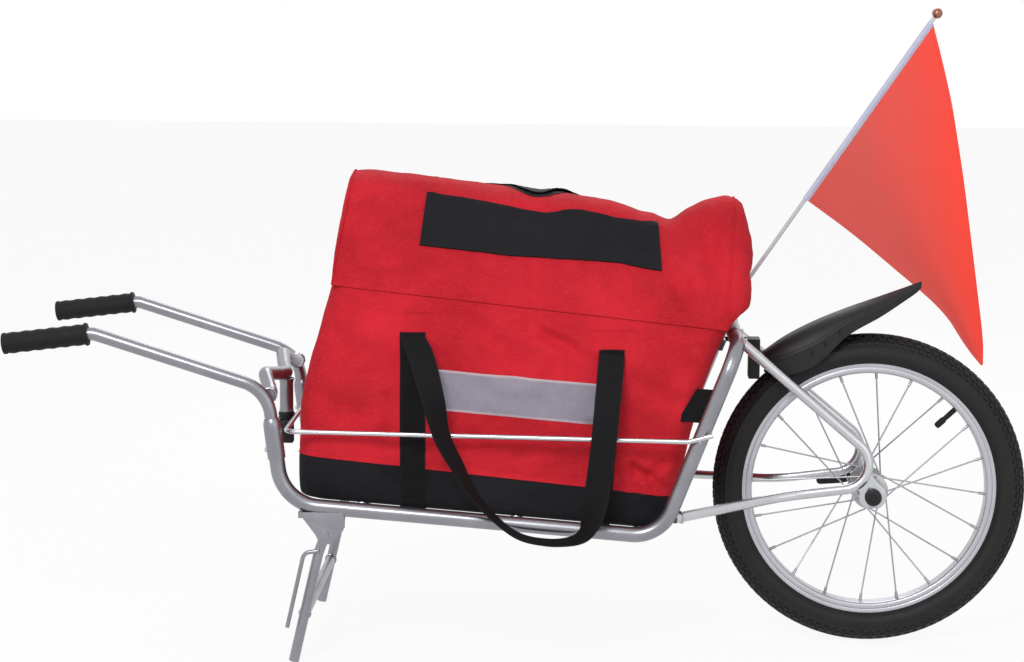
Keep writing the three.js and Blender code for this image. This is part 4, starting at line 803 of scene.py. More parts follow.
def makeHoop():
    frontAhead = postAhead(hoop["frontUp"]) - 11 / math.cos(postLean) - 3.3
    rearSide = 172.8
    hookAhead = rearPostAhead(hoop["rearUp"]) + 15
    half = [at(hookAhead - 30, rearSide, hoop["rearUp"] + 8), at(hookAhead, rearSide, hoop["rearUp"]),
            at(frontAhead, 157, hoop["frontUp"])]
    bends = [hoop["hook"], hoop["bend"], hoop["bend"], hoop["hook"]]
    wire = bentTube("bag_hoop_wire", half + acrossFrom(half), bends, hoop["radius"], 20, 6)
    beads = [weldBead(at(rearPostAhead(286) + 2, side * 171.2, 287), Vector((1, 0, 0.2)), 3.1, 1.2)
             for side in (-1, 1)]
    # painted light: the hoop takes the lighter bright finish in place of the silver paint, for the light
    # falling on it
    finishPiece(joined("bag_hoop_wire", wire, *beads), bright, "frame", ["bag_hoop"])


makeHoop()

# folding stand
stand = {"leg": 6.35, "bar": 6.35, "barUp": 60, "pivot": (680, 163), "knee": (689, 138), "foot": 720}


def makeStand():
    (pivotAhead, pivotUp), (kneeAhead, kneeUp) = stand["pivot"], stand["knee"]
    run = stand["foot"] - kneeAhead
    footEnd = stand["leg"] * math.sin(math.atan2(run, kneeUp))
    pieces = []
    barAhead = kneeAhead + (kneeUp - stand["barUp"]) / (kneeUp - footEnd) * run
    for side in (-1, 1):
        y = side * rails["half"]
        pivot = at(pivotAhead, y, pivotUp)
        corners = [pivot, at(kneeAhead, y, kneeUp), at(stand["foot"], y, footEnd)]
        pieces.append(bentTube("leg", corners, 40, stand["leg"], 28, 4))
        eye = [(3.3, -6.35), (8, -6.35), (8.5, -5.9), (8.5, 5.9), (8, 6.35), (3.3, 6.35), (3.3, -6.35)]
        pieces.append(turnedPiece("eye", eye, pivot, crosswise, 36))
        pieces.append(weldBead(at(barAhead, side * 153.4, stand["barUp"]), crosswise, 6.5))
    bar = [at(barAhead, -154, stand["barUp"]), at(barAhead, 154, stand["barUp"])]
    pieces.insert(0, bentTube("bar", bar, [], stand["bar"], 28))
    finishPiece(joined("stand_frame_tubes", *pieces), silver, "stand", ["stand_frame"])

    y = -rails["half"] - stand["leg"] - 2.6 - 0.3
    rod = bentTube("kick_rod_wire", [at(687, y, 143), at(706, y, 140), at(727, y, 46)], 10, 2.6, 20, 6)
    beads = [weldBead(at(688, y, 142.8), Vector((1, 0, 0)), 2.7, 1)]
    finishPiece(joined("kick_rod_wire", rod, *beads), silver, "stand", ["kick_rod"])
    for name in ("left", "right"):
        bracket = softenedCopy(f"{name}_stand_bracket", f"{name}_stand_bracket_plate", 0.5)
        finishPiece(bracket, silver, "frame", [f"{name}_stand_bracket"])


makeStand()
print("hitch, hoop and stand done")

# wheel
wheel = {"tyre": 199, "section": 23, "tread": 1.5, "treadCount": 104, "spoke": 1.05, "spokeHole": 19.5,
         "twist": 72, "phases": (-15.4, 2.6), "valveAngle": 46.6}
hub = at(0, 0, wheel["tyre"])


def wheelPoint(radius, degrees, side):
    turn = math.radians(degrees)
    return Vector((hub.x + radius * math.sin(turn) * mm, side * mm, hub.z + radius * math.cos(turn) * mm))


def makeTyre():
    section = wheel["section"] - 0.4
    centre = wheel["tyre"] - wheel["section"]
    body = section - wheel["tread"]
    outer = []
    for i in range(41):
        angle = math.radians(118 - 236 * i / 40)
        # the sidewall keeps its full width, the crown lies lower under the tread blocks
        crown = max(0.0, math.cos(angle)) ** 0.6
        reach = section + (body - section) * crown
        degrees = abs(math.degrees(angle))
        if 66 < degrees < 72:
            reach += 0.7
        if 100 < degrees < 106:
            reach += 0.5
        outer.append((max(162.4, centre + reach * math.cos(angle)), reach * math.sin(angle)))
    shoulder = 160.6
    profile = [(152.8, 7.9), (152.8, 10.7), (shoulder, 10.7)] + outer
    profile += [(shoulder, -10.7), (152.8, -10.7), (152.8, -7.9), (shoulder, -7.9)]
    inner = section - 4.2
    for i in range(17):
        angle = math.radians(-112 + 224 * i / 16)
        profile.append((centre + inner * math.cos(angle), inner * math.sin(angle)))
    profile += [(shoulder, 7.9), (152.8, 7.9)]
    tyre = turnedPiece("tyre_carcass", profile, hub, crosswise, 144)

    # seven rows of blocks as (degrees off the crown, width, length, offset), each repeated round the wheel
    rows = [(0, 5.6, 8.6, 0), (21, 5.2, 8.4, 0.5), (-21, 5.2, 8.4, 0.5), (41, 5.2, 7.6, 0),
            (-41, 5.2, 7.6, 0), (58, 3.4, 5.6, 0.5), (-58, 3.4, 5.6, 0.5)]
    blocks = []
    step = 360 / wheel["treadCount"]
    for degrees, wide, long, offset in rows:
        angle = math.radians(degrees)
        top = section + 0.1 * math.cos(angle) ** 2
        low = body - 0.6 if abs(degrees) < 50 else body - 0.2
        radius = centre + (top + low) / 2 * math.cos(angle)
        side = (top + low) / 2 * math.sin(angle)
        bpy.ops.object.select_all(action="DESELECT")
        bpy.ops.mesh.primitive_cube_add(size=mm, scale=(long, wide, top - low), location=(0, 0, 0))
        block = settle("block")
        editAll(block)
        pickFaces(block, lambda face: face.normal.z > 0.9)
        bpy.ops.mesh.inset(thickness=0.5 * mm, depth=0)
        bpy.ops.mesh.select_all(action="SELECT")
        leaveEdit()
        for vertex in block.data.vertices:
            if vertex.co.z < 0:
                vertex.co.x *= 1.25
                vertex.co.y *= 1.2
            vertex.co.x += vertex.co.y * (0.35 if degrees > 0 else -0.35 if degrees < 0 else 0)
        lean = Matrix.Rotation(-angle, 4, "X")
        turn = Matrix.Rotation(math.radians(step * offset), 4, "Y")
        lift = Matrix.Translation((0, side * mm, radius * mm))
        block.data.transform(Matrix.Translation(hub) @ turn @ lift @ lean)
        ringOf(block, wheel["treadCount"], hub, crosswise)
        blocks.append(block)
    finishPiece(joined("tyre_carcass", tyre, *blocks), tyreRubber, "wheel", ["tyre"], 38)


def makeRim():
    right = [(149, 7), (148.9, 8.6), (150.2, 11.6), (151.6, 12.5), (153.4, 12.6), (156.4, 12.5), (157, 12.1),
             (157.6, 12.5), (159.8, 12.6), (161.6, 12.5), (162, 11.1), (152.2, 11), (152.2, 8.2), (150.6, 7)]
    rim = turnedPiece("rim_hoop", right + turnedOver(right) + [right[0]], hub, crosswise, 144)
    finishPiece(rim, rimAlloy, "wheel", ["rim"], 35)


def makeHub():
    half = [(5.9, 0), (5.9, 27.7), (11.3, 27.7), (11.3, 36), (14.4, 36), (15, 35.5), (15, 28), (15.4, 26.9),
            (22.3, 26.7), (23, 26.2), (23, 24.2), (22.4, 23.5), (16.5, 23.2), (13.4, 20.5), (12.6, 16),
            (12.5, 0)]
    shell = turnedPiece("hub_shell", half + turnedOver(half[:-1]), hub, crosswise, 64)
    pieces = [shell]
    for side, phase in zip((-1, 1), wheel["phases"]):
        for kind in (0, 1):
            # one spoke of each kind, then its four twins round the wheel
            rimTurn = phase + kind * 36
            hubTurn = rimTurn + (wheel["twist"] if kind == 0 else -wheel["twist"])
            outside = side * (25 + (1.2 if kind == 0 else -1.2))
            hole = wheelPoint(wheel["spokeHole"], hubTurn, outside)
            head = wheelPoint(wheel["spokeHole"], hubTurn, side * (25 + (-2.2 if kind == 0 else 2.2)))
            end = wheelPoint(152.1, rimTurn, side * 2)
            heading = (end - hole).normalized()
            foot = end - heading * 12 * mm
            wire = bentTube("spoke", [head, hole, foot + heading * 2 * mm], 2, wheel["spoke"], 10, 25)
            nut = [(0, 0), (1.5, 0), (1.9, 0.5), (1.9, 8.6), (2.2, 9), (2.2, 12), (0, 12)]
            nipple = turnedPiece("nipple", nut, foot, heading, 12)
            button = turnedPiece("head", [(0, -0.6), (1.5, -0.4), (1.9, 0.2), (1.5, 0.8), (0, 0.9)], head,
                                 (hole - head), 12)
            pieces.append(ringOf(joined("spoke", wire, nipple, button), 5, hub, crosswise))
    finishPiece(joined("hub_and_spokes_laced", *pieces), spokeSteel, "wheel", ["hub_and_spokes"], 35)


def makeValve():
    outward = (wheelPoint(1, wheel["valveAngle"], 0) - hub).normalized()
    cap = [(0, 116), (2.4, 116), (3.4, 116.6), (4.1, 118.5), (4.2, 120), (4.2, 129), (3.9, 129.8), (3.3, 130),
           (3.3, 136), (3.4, 136.4), (3.4, 158.5), (0, 158.5)]
    valve = turnedPiece("valve_stem", cap, hub, outward, 24)
    finishPiece(valve, gripRubber, "wheel", ["valve"], 35)


def makeAxleParts():
    # round lock nuts on the axle, the skewer with its cam housing, and the quick-release nut with its groove
    nuts = [(2.8, 63.6), (4.6, 63.6), (5, 63.2), (5, 59.7), (8.2, 59.7), (9, 59), (9, 50), (8.6, 49.6),
            (8.6, 48.6), (9, 48.2), (9, 37), (8.4, 36.4), (5, 36.4)]
    axle = turnedPiece("axle_and_nuts", nuts + turnedOver(nuts) + [nuts[0]], hub, crosswise, 36)
    finishPiece(axle, bright, "frame", ["axle"], 30)
    skewer = [(0, -72.2), (2.4, -72.2), (2.4, 64.4), (8.4, 64.4), (9, 65), (9, 67.4), (8.5, 67.8),
              (8.5, 68.6), (9, 69), (9, 73.6), (8.3, 74.2), (4, 74.3), (4, 76.3), (0, 76.3)]
    rod = turnedPiece("skewer_rod", skewer, hub, crosswise, 36)
    finishPiece(rod, bright, "frame", ["skewer"], 30)
    nut = [(2.7, 64.3), (9.6, 64.3), (10.4, 65), (10.5, 66), (8.6, 67), (8.6, 68), (10.5, 69.2), (10.5, 72.6),
           (9.7, 74.4), (7.6, 75.2), (4.6, 75.2), (4.2, 74.2), (0, 74)]
    cap = turnedPiece("skewer_nut_cap", nut, hub, Vector((0, -1, 0)), 48)
    finishPiece(cap, plastic, "frame", ["skewer_nut"], 30)
    lever = softenedCopy("quick_release_lever", "quick_release_handle", 0.9, 3)
    finishPiece(lever, plastic, "lever", ["quick_release_lever"])
    # these stay as CAD meshes and only get a finish
    for node, finish in (("left_bearing", bright), ("right_bearing", bright), ("inner_tube", gripRubber)):
        dress(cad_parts[node], finish)


makeTyre()
makeRim()
makeHub()
makeValve()
makeAxleParts()
print("wheel done")

# bag: levels from the foot up, each with its front and rear as (ahead, up), and its half width
bag = {"corner": 26, "sideSteps": 84, "endSteps": 40, "cornerSteps": 8, "wall": 2.2, "hang": 2.2,
       "grain": 0.9, "half": 143}
bagLevels = [
    (0.0, 706, 202.2, 272, 169.2, 133),
    (0.045, 714, 206, 264, 172, 141),
    (0.09, 716, 213.1, 262, 177.9, 143),
    (0.3, 716, 259, 250, 212, 143),
    (0.6, 711, 335, 218, 345, 143),
    (1.0, 675, 468, 189, 417, 143),
]
trayShare = 0.3
# soft folds on the sides: two ends as (ahead, up), depth and width
bagFolds = [
    (600, 372, 668, 402, 3.9, 20), (448, 372, 520, 436, 4.8, 17), (380, 398, 438, 424, 2.7, 9),
    (345, 392, 412, 428, -2.4, 8), (412, 410, 372, 384, 2.2, 7), (236, 372, 300, 414, 3.6, 15),
    (252, 330, 300, 352, 2.7, 12), (268, 222, 312, 256, 4.5, 7), (280, 246, 322, 262, -3.3, 6),
    (298, 218, 302, 250, 3.6, 6), (262, 256, 284, 240, 3.3, 6), (690, 330, 640, 306, 3.3, 14),
    (560, 262, 500, 280, 1.8, 10), (440, 262, 390, 276, 2, 9), (640, 440, 600, 410, 2.4, 14),
    (352, 296, 330, 250, 2.7, 9), (600, 330, 604, 270, 2.1, 10), (480, 300, 420, 290, 1.8, 12),
]
webbing = {"width": 31, "thick": 1.6, "front": (574, 574, 412), "rear": (346, 330, 393)}


# a smooth curve through rows keyed by their first value
def through(rows, key):
    last = len(rows) - 1
    i = 0
    while i < last - 1 and key > rows[i + 1][0]:
        i += 1
    low, high = rows[i], rows[i + 1]
    before, after = rows[max(0, i - 1)], rows[min(last, i + 2)]
    span = high[0] - low[0]
    share = min(1.0, max(0.0, (key - low[0]) / span))
    found = []
    for start, end, earlier, later in zip(low[1:], high[1:], before[1:], after[1:]):
        leave = (end - earlier) / (high[0] - before[0]) * span
        arrive = (later - start) / (after[0] - low[0]) * span
        square, cube = share * share, share ** 3
        found.append((2 * cube - 3 * square + 1) * start + (cube - 2 * square + share) * leave
                     + (3 * square - 2 * cube) * end + (cube - square) * arrive)
    return found


def eased(value, low, high):
    share = min(1.0, max(0.0, (value - low) / (high - low)))
    return share * share * (3 - 2 * share)


def foldDepth(ahead, up, folds):
    depth = 0
    for startAhead, startUp, endAhead, endUp, deep, wide in folds:
        runAhead, runUp = endAhead - startAhead, endUp - startUp
        length = runAhead ** 2 + runUp ** 2
        share = min(1.0, max(0.0, ((ahead - startAhead) * runAhead + (up - startUp) * runUp) / length))
        gapAhead, gapUp = ahead - startAhead - runAhead * share, up - startUp - runUp * share
        away = math.hypot(gapAhead, gapUp) / wide
        if away < 4:
            depth += deep * (math.exp(-away * away) - 0.55 * math.exp(-(away - 1.7) ** 2 * 1.4))
    return depth


def crumple(place, size, seed=0):
    spot = Vector((place.x / (size * mm), place.y / (size * mm) + seed * 7.3, place.z / (size * mm)))
    return noise.fractal(spot, 0.9, 2.1, 3, noise_basis="PERLIN_ORIGINAL")


def webbingAhead(which, up):
    foot, top, topUp = webbing[which]
    return foot + (top - foot) * min(1.0, max(0.0, (up - 180) / (topUp - 180)))


# how far the side swells past its flat cut, pulled in under the webbing
def sideSwell(ahead, up, side):
    belly = bag["hang"] * eased(up, 215, 300) * (1 - eased(up, 400, 452))
    for which in ("front", "rear"):
        if up < webbing[which][2] + 24:
            away = (ahead - webbingAhead(which, up)) / 30
            belly -= 1.7 * math.exp(-away ** 4)
    belly -= foldDepth(ahead, up, bagFolds)
    place = at(ahead, side * bag["half"], up)
    belly += bag["grain"] * (1.4 * crumple(place, 62) + 0.8 * crumple(place, 24, 1))
    hold = 1 - math.exp(-((up - 466 + (675 - ahead) * 0.105) / 12) ** 2)
    return belly * (0.25 + 0.75 * hold)


def bagStations():
    stations = []
    for quarter, (end, side) in enumerate(((1, 1), (1, -1), (0, -1), (0, 1))):
        for i in range(bag["cornerSteps"]):
            stations.append(("corner", end, side, math.pi / 2 * (i / bag["cornerSteps"]), quarter))
        steps = bag["endSteps"] if quarter in (0, 2) else bag["sideSteps"]
        for i in range(steps):
            stations.append((("front", "left", "rear", "right")[quarter], end, side, i / steps, quarter))
    return stations


def bagPoint(station, rise, proud=0.0):
    kind, end, side, share, quarter = station
    frontAhead, frontUp, rearAhead, rearUp, half = through(bagLevels, rise)
    corner = bag["corner"]
    lowEnd, highEnd = rearAhead + corner, frontAhead - corner
    if kind == "corner":
        # turning from the right side to the front, the left side, the rear and back
        angle = share + quarter * math.pi / 2
        outAhead, outSide = math.sin(angle), math.cos(angle)
        ahead = (highEnd if end else lowEnd) + corner * outAhead
        across = side * (half - corner) + corner * outSide
    elif kind == "front":
        outAhead, outSide = 1, 0
        ahead, across = frontAhead, (half - corner) * (1 - 2 * share)
    elif kind == "rear":
        outAhead, outSide = -1, 0
        ahead, across = rearAhead, (half - corner) * (2 * share - 1)
    else:
        outAhead, outSide = 0, (-1 if kind == "left" else 1)
        along = share if kind == "left" else 1 - share
        ahead = highEnd + (lowEnd - highEnd) * along
        across = outSide * half
    slope = (frontUp - rearUp) / (frontAhead - rearAhead)
    up = rearUp + (ahead - rearAhead) * slope
    swell = 0.0
    if rise > 0.1:
        swell += abs(outSide) ** 2 * sideSwell(ahead, up, outSide)
        middle = 1 - (across / half) ** 2
        place = at(ahead, across, up)
        bulge = 1.4 * middle + 1.6 * crumple(place, 50, 2)
        swell += abs(outAhead) ** 2 * bulge * (1 - eased(rise, 0.86, 1))
    swell += proud
    return at(ahead + outAhead * swell, across + outSide * swell, up)


def bagShell(name, lowRise, highRise, rows, proud):
    stations = bagStations()
    count = len(stations)

    def place(across, along):
        station = stations[round(across * count) % count]
        rise = lowRise + (highRise - lowRise) * along
        lip = proud(along) if callable(proud) else proud
        return bagPoint(station, rise, lip)
    shell = laidGrid(name, count, rows, place)
    tidyNormals(shell, 1e-5)
    return shell


def makeBag():
    # the black tray with its floor, then the red body; both get their wall inwards
    tray = bagShell("bag_tray_cloth", 0, trayShare, 18, 0)
    editAll(tray)
    pickVertices(tray, lambda place: place.z < deckUp((axleX - place.x) / mm) * mm + 9.2 * mm)
    bpy.ops.mesh.edge_face_add()
    leaveEdit()
    tidyNormals(tray)
    useModifier(tray, "SOLIDIFY", thickness=bag["wall"] * mm, offset=-1)
    finishPiece(tray, blackCloth, "frame", ["bag_tray"], 50)

    def hem(along):
        # a turned-in hem at the foot, with its stitching pulled in above it
        above = along * 256
        return 0.7 * (1 - eased(above, 0, 3)) + 0.5 * math.exp(-((above - 8) / 2.2) ** 2) * -1 + 0.5
    body = bagShell("bag_body_cloth", trayShare - 0.004, 1, 96, hem)
    useModifier(body, "SOLIDIFY", thickness=bag["wall"] * mm, offset=-1)
    finishPiece(body, redCloth, "frame", ["bag_body"], 60)


makeBag()
print("bag body done")

# lid: the section and the stations along it, as on the solid but drawn smooth
lidSection = [(0, 1, 0), (0.09, 0.985, 0.09), (0.17, 0.93, 0.2), (0.55, 0.56, 0.62), (0.83, 0.3, 0.9),
              (0.91, 0.19, 0.965), (0.96, 0.09, 0.99), (1, 0, 1)]
lidStations = [(0, 0.87, 0.1, 0.97), (0.05, 0.9, 0.1, 1), (0.2, 0.9, 0.07, 1), (0.47, 0.89, 0.02, 1),
               (0.7, 0.88, 0, 1), (0.8, 0.81, -0.02, 1), (0.86, 0.79, -0.02, 1), (0.93, 0.93, 0.02, 1),
               (0.98, 1.02, 0.06, 1), (1, 1, 0.1, 0.98)]
lid = {"front": (675, 468.6), "rear": (189, 417.6), "height": 150, "half": 143.4, "puff": 28, "wall": 2.2,
       "endRows": 26, "rows": 150, "columns": 132}
lidFolds = [
    (204, 512, 196, 470, 5.1, 16), (228, 540, 214, 500, 4.5, 13), (258, 548, 236, 500, 3.9, 12),
    (640, 520, 610, 470, 2.7, 18), (560, 480, 500, 466, 2.4, 14), (420, 470, 360, 452, 2.4, 13),
    (330, 470, 300, 440, 2.2, 12), (246, 466, 226, 430, 3, 12), (660, 560, 640, 500, 1.8, 14),
    (590, 500, 650, 490, 1.8, 12),
]


# a place on the lid: share along it, share over its section (0 and 1 are the two edges), and how far proud
def lidPlace(along, over, proud=0.0, inward=1.0):
    side = 1 if over < 0.5 else -1
    climb = 1 - abs(over * 2 - 1)
    across, height = through(lidSection, climb)
    rise, lean, width = through(lidStations, along)
    nextAcross, nextHeight = through(lidSection, min(1, climb + 0.02))
    lastAcross, lastHeight = through(lidSection, max(0, climb - 0.02))
    run = lid["front"][0] - lid["rear"][0]
    seamAhead = lid["front"][0] - along * run
    seamUp = lid["front"][1] - along * (lid["front"][1] - lid["rear"][1])
    tall = lid["height"] * rise
    half = lid["half"] * width
    outSide, outUp = (nextHeight - lastHeight) * tall, (lastAcross - nextAcross) * half
    size = math.hypot(outSide, outUp) or 1
    outSide, outUp = outSide / size, outUp / size
    if climb > 0.985:
        outSide *= (1 - climb) / 0.015
    ahead = seamAhead - lean * lid["height"] * height * inward
    half *= inward
    place = at(ahead, side * across * half, seamUp + height * tall * inward)
    swell = proud
    if inward > 0.999:
        up = seamUp + height * tall
        swell += 1.2 * math.sin(min(1.0, climb / 0.85) * math.pi) - foldDepth(ahead, up, lidFolds)
        swell += 1.3 * crumple(place, 58, 3) + 0.6 * crumple(place, 22, 4)
        # the hem stands out as a ridge along the lower edge, with a groove above it
        over = height * tall
        swell = swell * eased(over, 0, 26) + 1.5 * math.exp(-((over - 2.5) / 2.6) ** 2) - 0.6 * math.exp(
            -((over - 9) / 3) ** 2)
    return place + Vector((0, side * outSide, outUp)) * swell * mm


# the two ends close towards the middle of their foot; the rear one is puffed like a pillow
def lidEnd(rear, over, inward):
    place = lidPlace(1 if rear else 0, over, 0, 0.0001 + inward * 0.9998)
    seamUp = (lid["rear"] if rear else lid["front"])[1]
    height = (place.z / mm - seamUp) / lid["height"]
    side = abs(place.y) / mm / lid["half"]
    edge = max(0.0, 1 - inward ** 7) ** 0.5
    if rear:
        reach = lid["puff"] * edge * eased(height, -0.02, 0.2) * (1 - 0.45 * eased(height, 0.45, 1))
        reach += 2.6 * crumple(place, 34, 5) * edge
        reach -= 3.0 * math.exp(-((height - 0.34 - 0.12 * side) / 0.05) ** 2) * edge
        return place + Vector((reach * mm, 0, 0))
    reach = 4.5 * edge * eased(height, -0.02, 0.25) + 1.6 * crumple(place, 40, 6) * edge
    return place - Vector((reach * mm, 0, 0))


def makeLid():
    ends, rows = lid["endRows"], lid["rows"]
    total = rows + 2 * ends

    def place(across, along):
        row = round(along * total)
        if row < ends:
            return lidEnd(False, across, row / ends)
        if row > ends + rows:
            return lidEnd(True, across, (total - row) / ends)
        return lidPlace((row - ends) / rows, across)
    shell = laidGrid("bag_lid_cloth", lid["columns"], total, place)
    tidyNormals(shell, 2e-5)
    useModifier(shell, "SOLIDIFY", thickness=lid["wall"] * mm, offset=-1)
    finishPiece(shell, redCloth, "lid", ["bag_lid"], 55)

    # piping along both end seams
    for name, along, radius in (("front", 0.004, 1.1), ("rear", 0.995, 1.3)):
        points = [lidPlace(along, i / 60, 0.6) for i in range(61)]
        piping = roundLine(f"lid_{name}_piping", points, radius, 3)
        finishPiece(piping, redCloth, "lid", [], 60)


makeLid()
print("lid done")

# window flaps on the lid's flanks, sewn round, with a slack mouth along the top edge
window = {"front": 0.211, "rear": 0.833, "low": 0.345, "high": 0.935, "columns": 120, "rows": 34,
          "proud": 1.0}
windowTop = [(0, 0.807), (0.3, 0.779), (0.52, 0.747), (0.63, 0.802), (0.75, 0.8), (0.82, 0.8), (1, 0.885)]
windowFoot = [(0, 0.357), (0.5, 0.377), (1, 0.433)]
flapDrop = [(0, 0.047), (0.3, 0.04), (0.52, 0.034), (0.62, 0.07), (0.74, 0.105), (0.86, 0.075), (1, 0.05)]


def makeWindow(name, side, flap):
    def place(across, along):
        share = window["front"] + (window["rear"] + 0.005 * (1 - along) - window["front"]) * across
        if side > 0:
            dip = 0.19 * math.exp(-((across - 0.47) / 0.14) ** 2)
            top = window["high"] - 0.035 * across + dip * eased(along, 0.55, 1)
            low = window["low"] - 0.02 * across
        else:
            top = through(windowTop, across)[0]
            low = through(windowFoot, across)[0]
        if flap:
            # the flap's own edge lies lower, most of all at its slack mouth
            top -= through(flapDrop, across)[0]
        climb = low + (top - low) * along
        edge = min(across * 40, (1 - across) * 40, along * 12, 1)
        slack = math.exp(-((across - 0.72) / 0.15) ** 2) * eased(along, 0.45, 1)
        proud = window["proud"] * (1.9 if flap else 0.4) + 0.5 * edge
        if flap:
            proud += (3.4 if side < 0 else 5.5) * slack + 0.9 * eased(along, 0.9, 1)
        elif side < 0:
            proud += 2.2 * math.exp(-((across - 0.62) / 0.2) ** 2) * eased(along, 0.8, 1)
        proud += 0.9 * edge * crumple(at(500 - across * 300, side * 100, 480 + along * 80), 30, 7)
        over = climb / 2 if side > 0 else 1 - climb / 2
        return lidPlace(share, over, proud)
    layer = "flap" if flap else "backing"
    panel = laidGrid(f"{name}_window_{layer}", window["columns"], window["rows"], place, (304, 78))
    tidyNormals(panel)
    useModifier(panel, "SOLIDIFY", thickness=(0.9 if flap else 0.5) * mm, offset=-1)
    finishPiece(panel, windowCloth, "lid", [f"{name}_window_panel"] if flap else [], 50)


for name, side in twoSides:
    makeWindow(name, side, False)
    makeWindow(name, side, True)
print("windows done")


# a wall grown outwards from an open sheet
def thicken(piece, wall, out, share=1.0):
    middle = piece.data.polygons[len(piece.data.polygons) // 2]
    if middle.normal.dot(Vector(out)) < 0:
        editAll(piece)
        bpy.ops.mesh.flip_normals()
        leaveEdit()
    useModifier(piece, "SOLIDIFY", thickness=wall * mm, offset=share)


# reflective strips, sewn on between the two webbings
strip = {"front": 546, "rear": 340, "frontUp": 341.6, "rearUp": 324.6, "height": 50, "thick": 0.7}


def makeStrip(name, side):
    run = strip["front"] - strip["rear"]

    def place(across, along):
        ahead = strip["front"] - along * run
        share = (ahead - strip["rear"]) / run
        up = strip["rearUp"] + (strip["frontUp"] - strip["rearUp"]) * share + (across - 0.5) * strip["height"]
        edge = min(across, 1 - across) * strip["height"]
        proud = 0.15 + 0.45 * eased(edge, 0, 2.5) + 0.25 * math.exp(-((edge - 1.4) / 0.9) ** 2)
        return at(ahead, side * (bag["half"] + sideSwell(ahead, up, side) + proud), up)
    tape = laidGrid(f"{name}_strip_tape", 36, 110, place, (strip["height"], run))
    thicken(tape, strip["thick"], (0, side, 0))
    finishPiece(tape, reflectiveTape, "frame", [f"{name}_reflective_strip"], 50)


# webbing round the bag: down the left side, under the tray and up the right side
def webbingPath(which, ahead):
    top = webbing[which][2]
    footAhead, footUp = bagLevels[0][1:3]
    under = footUp - (footAhead - ahead) * (33.0 / 434)
    half = []
    steps = 84
    for i in range(steps + 1):
        half.append(("side", 143.0, top + (under + 11 - top) * i / steps))
    half += [("turn", 142.9, under + 7.5), ("turn", 142.0, under + 3.4), ("turn", 139.6, under + 0.9),
             ("turn", 136.4, under - 0.2), ("turn", 132.8, under - 0.6)]
    flat = [("under", 132.8 * (1 - i / 24), under - 0.6) for i in range(1, 25)]
    return half + flat


def makeWebbing(which):
    path = webbingPath(which, webbing[which][0])
    rows = 2 * (len(path) - 1)
    wide = webbing["width"]

    def place(across, along):
        row = round(along * rows)
        side = -1 if row <= rows // 2 else 1
        step = row if side < 0 else rows - row
        kind, out, up = path[step]
        ahead = webbingAhead(which, up) + (across - 0.5) * wide
        climb = (across - 0.5) * wide * math.tan(deckSlope)
        up += climb * (1 - eased(up, path[-1][2] + 10, path[-1][2] + 60))
        if kind == "side":
            edge = min(across, 1 - across) * wide
            out += sideSwell(ahead, up, side) + 0.35 + 0.3 * eased(edge, 0, 2)
        else:
            out += 0.6
        return at(ahead, side * out, up)
    length = 2 * sum(math.hypot(b[1] - a[1], b[2] - a[2]) for a, b in zip(path, path[1:]))
    tape = laidGrid(f"{which}_webbing_tape", 12, rows, place, (wide, length))
    thicken(tape, webbing["thick"] - 0.2, (0, 0, -1))
    finishPiece(tape, webbingTape, "frame", [f"{which}_webbing"], 50)


# carry loops: the same tape, sewn on at both tops, turning edge-on as it hangs outside the rail
loop = {"near": 145.2, "far": 188.5, "front": (574, 408), "rear": (330, 388), "drop": 243, "thick": 1.5,
        "rows": 220}
# (row, share of the run, share of the drop, how far out, quarter turns of twist)
loopShape = [
    (0, 0, 0, 0, 0), (0.05, 0.052, 0.11, 0.35, 0.1), (0.115, 0.112, 0.289, 0.95, 0.36),
    (0.185, 0.157, 0.473, 1, 0.62), (0.25, 0.237, 0.622, 1, 0.74), (0.3, 0.298, 0.728, 1, 0.86),
    (0.36, 0.385, 0.832, 1, 0.94), (0.45, 0.531, 0.938, 1, 0.97), (0.54, 0.676, 0.962, 1, 0.96),
    (0.62, 0.805, 0.944, 1, 0.9), (0.665, 0.875, 0.9, 1, 0.72), (0.7, 0.908, 0.822, 1, 0.42),
    (0.745, 0.928, 0.719, 1, 0.16), (0.82, 0.955, 0.514, 1, 0.08), (0.87, 0.969, 0.38, 0.95, 0.06),
    (0.93, 0.985, 0.207, 0.62, 0.04), (0.98, 0.997, 0.06, 0.15, 0.02), (1, 1, 0, 0, 0),
]


def loopCentre(key, side):
    along, drop, reach, twist = through(loopShape, key)
    run = loop["front"][0] - loop["rear"][0]
    fall = loop["front"][1] - loop["rear"][1]
    return at(loop["front"][0] - along * run, side * (loop["near"] + (loop["far"] - loop["near"]) * reach),
              loop["front"][1] - along * fall - drop * loop["drop"]), twist


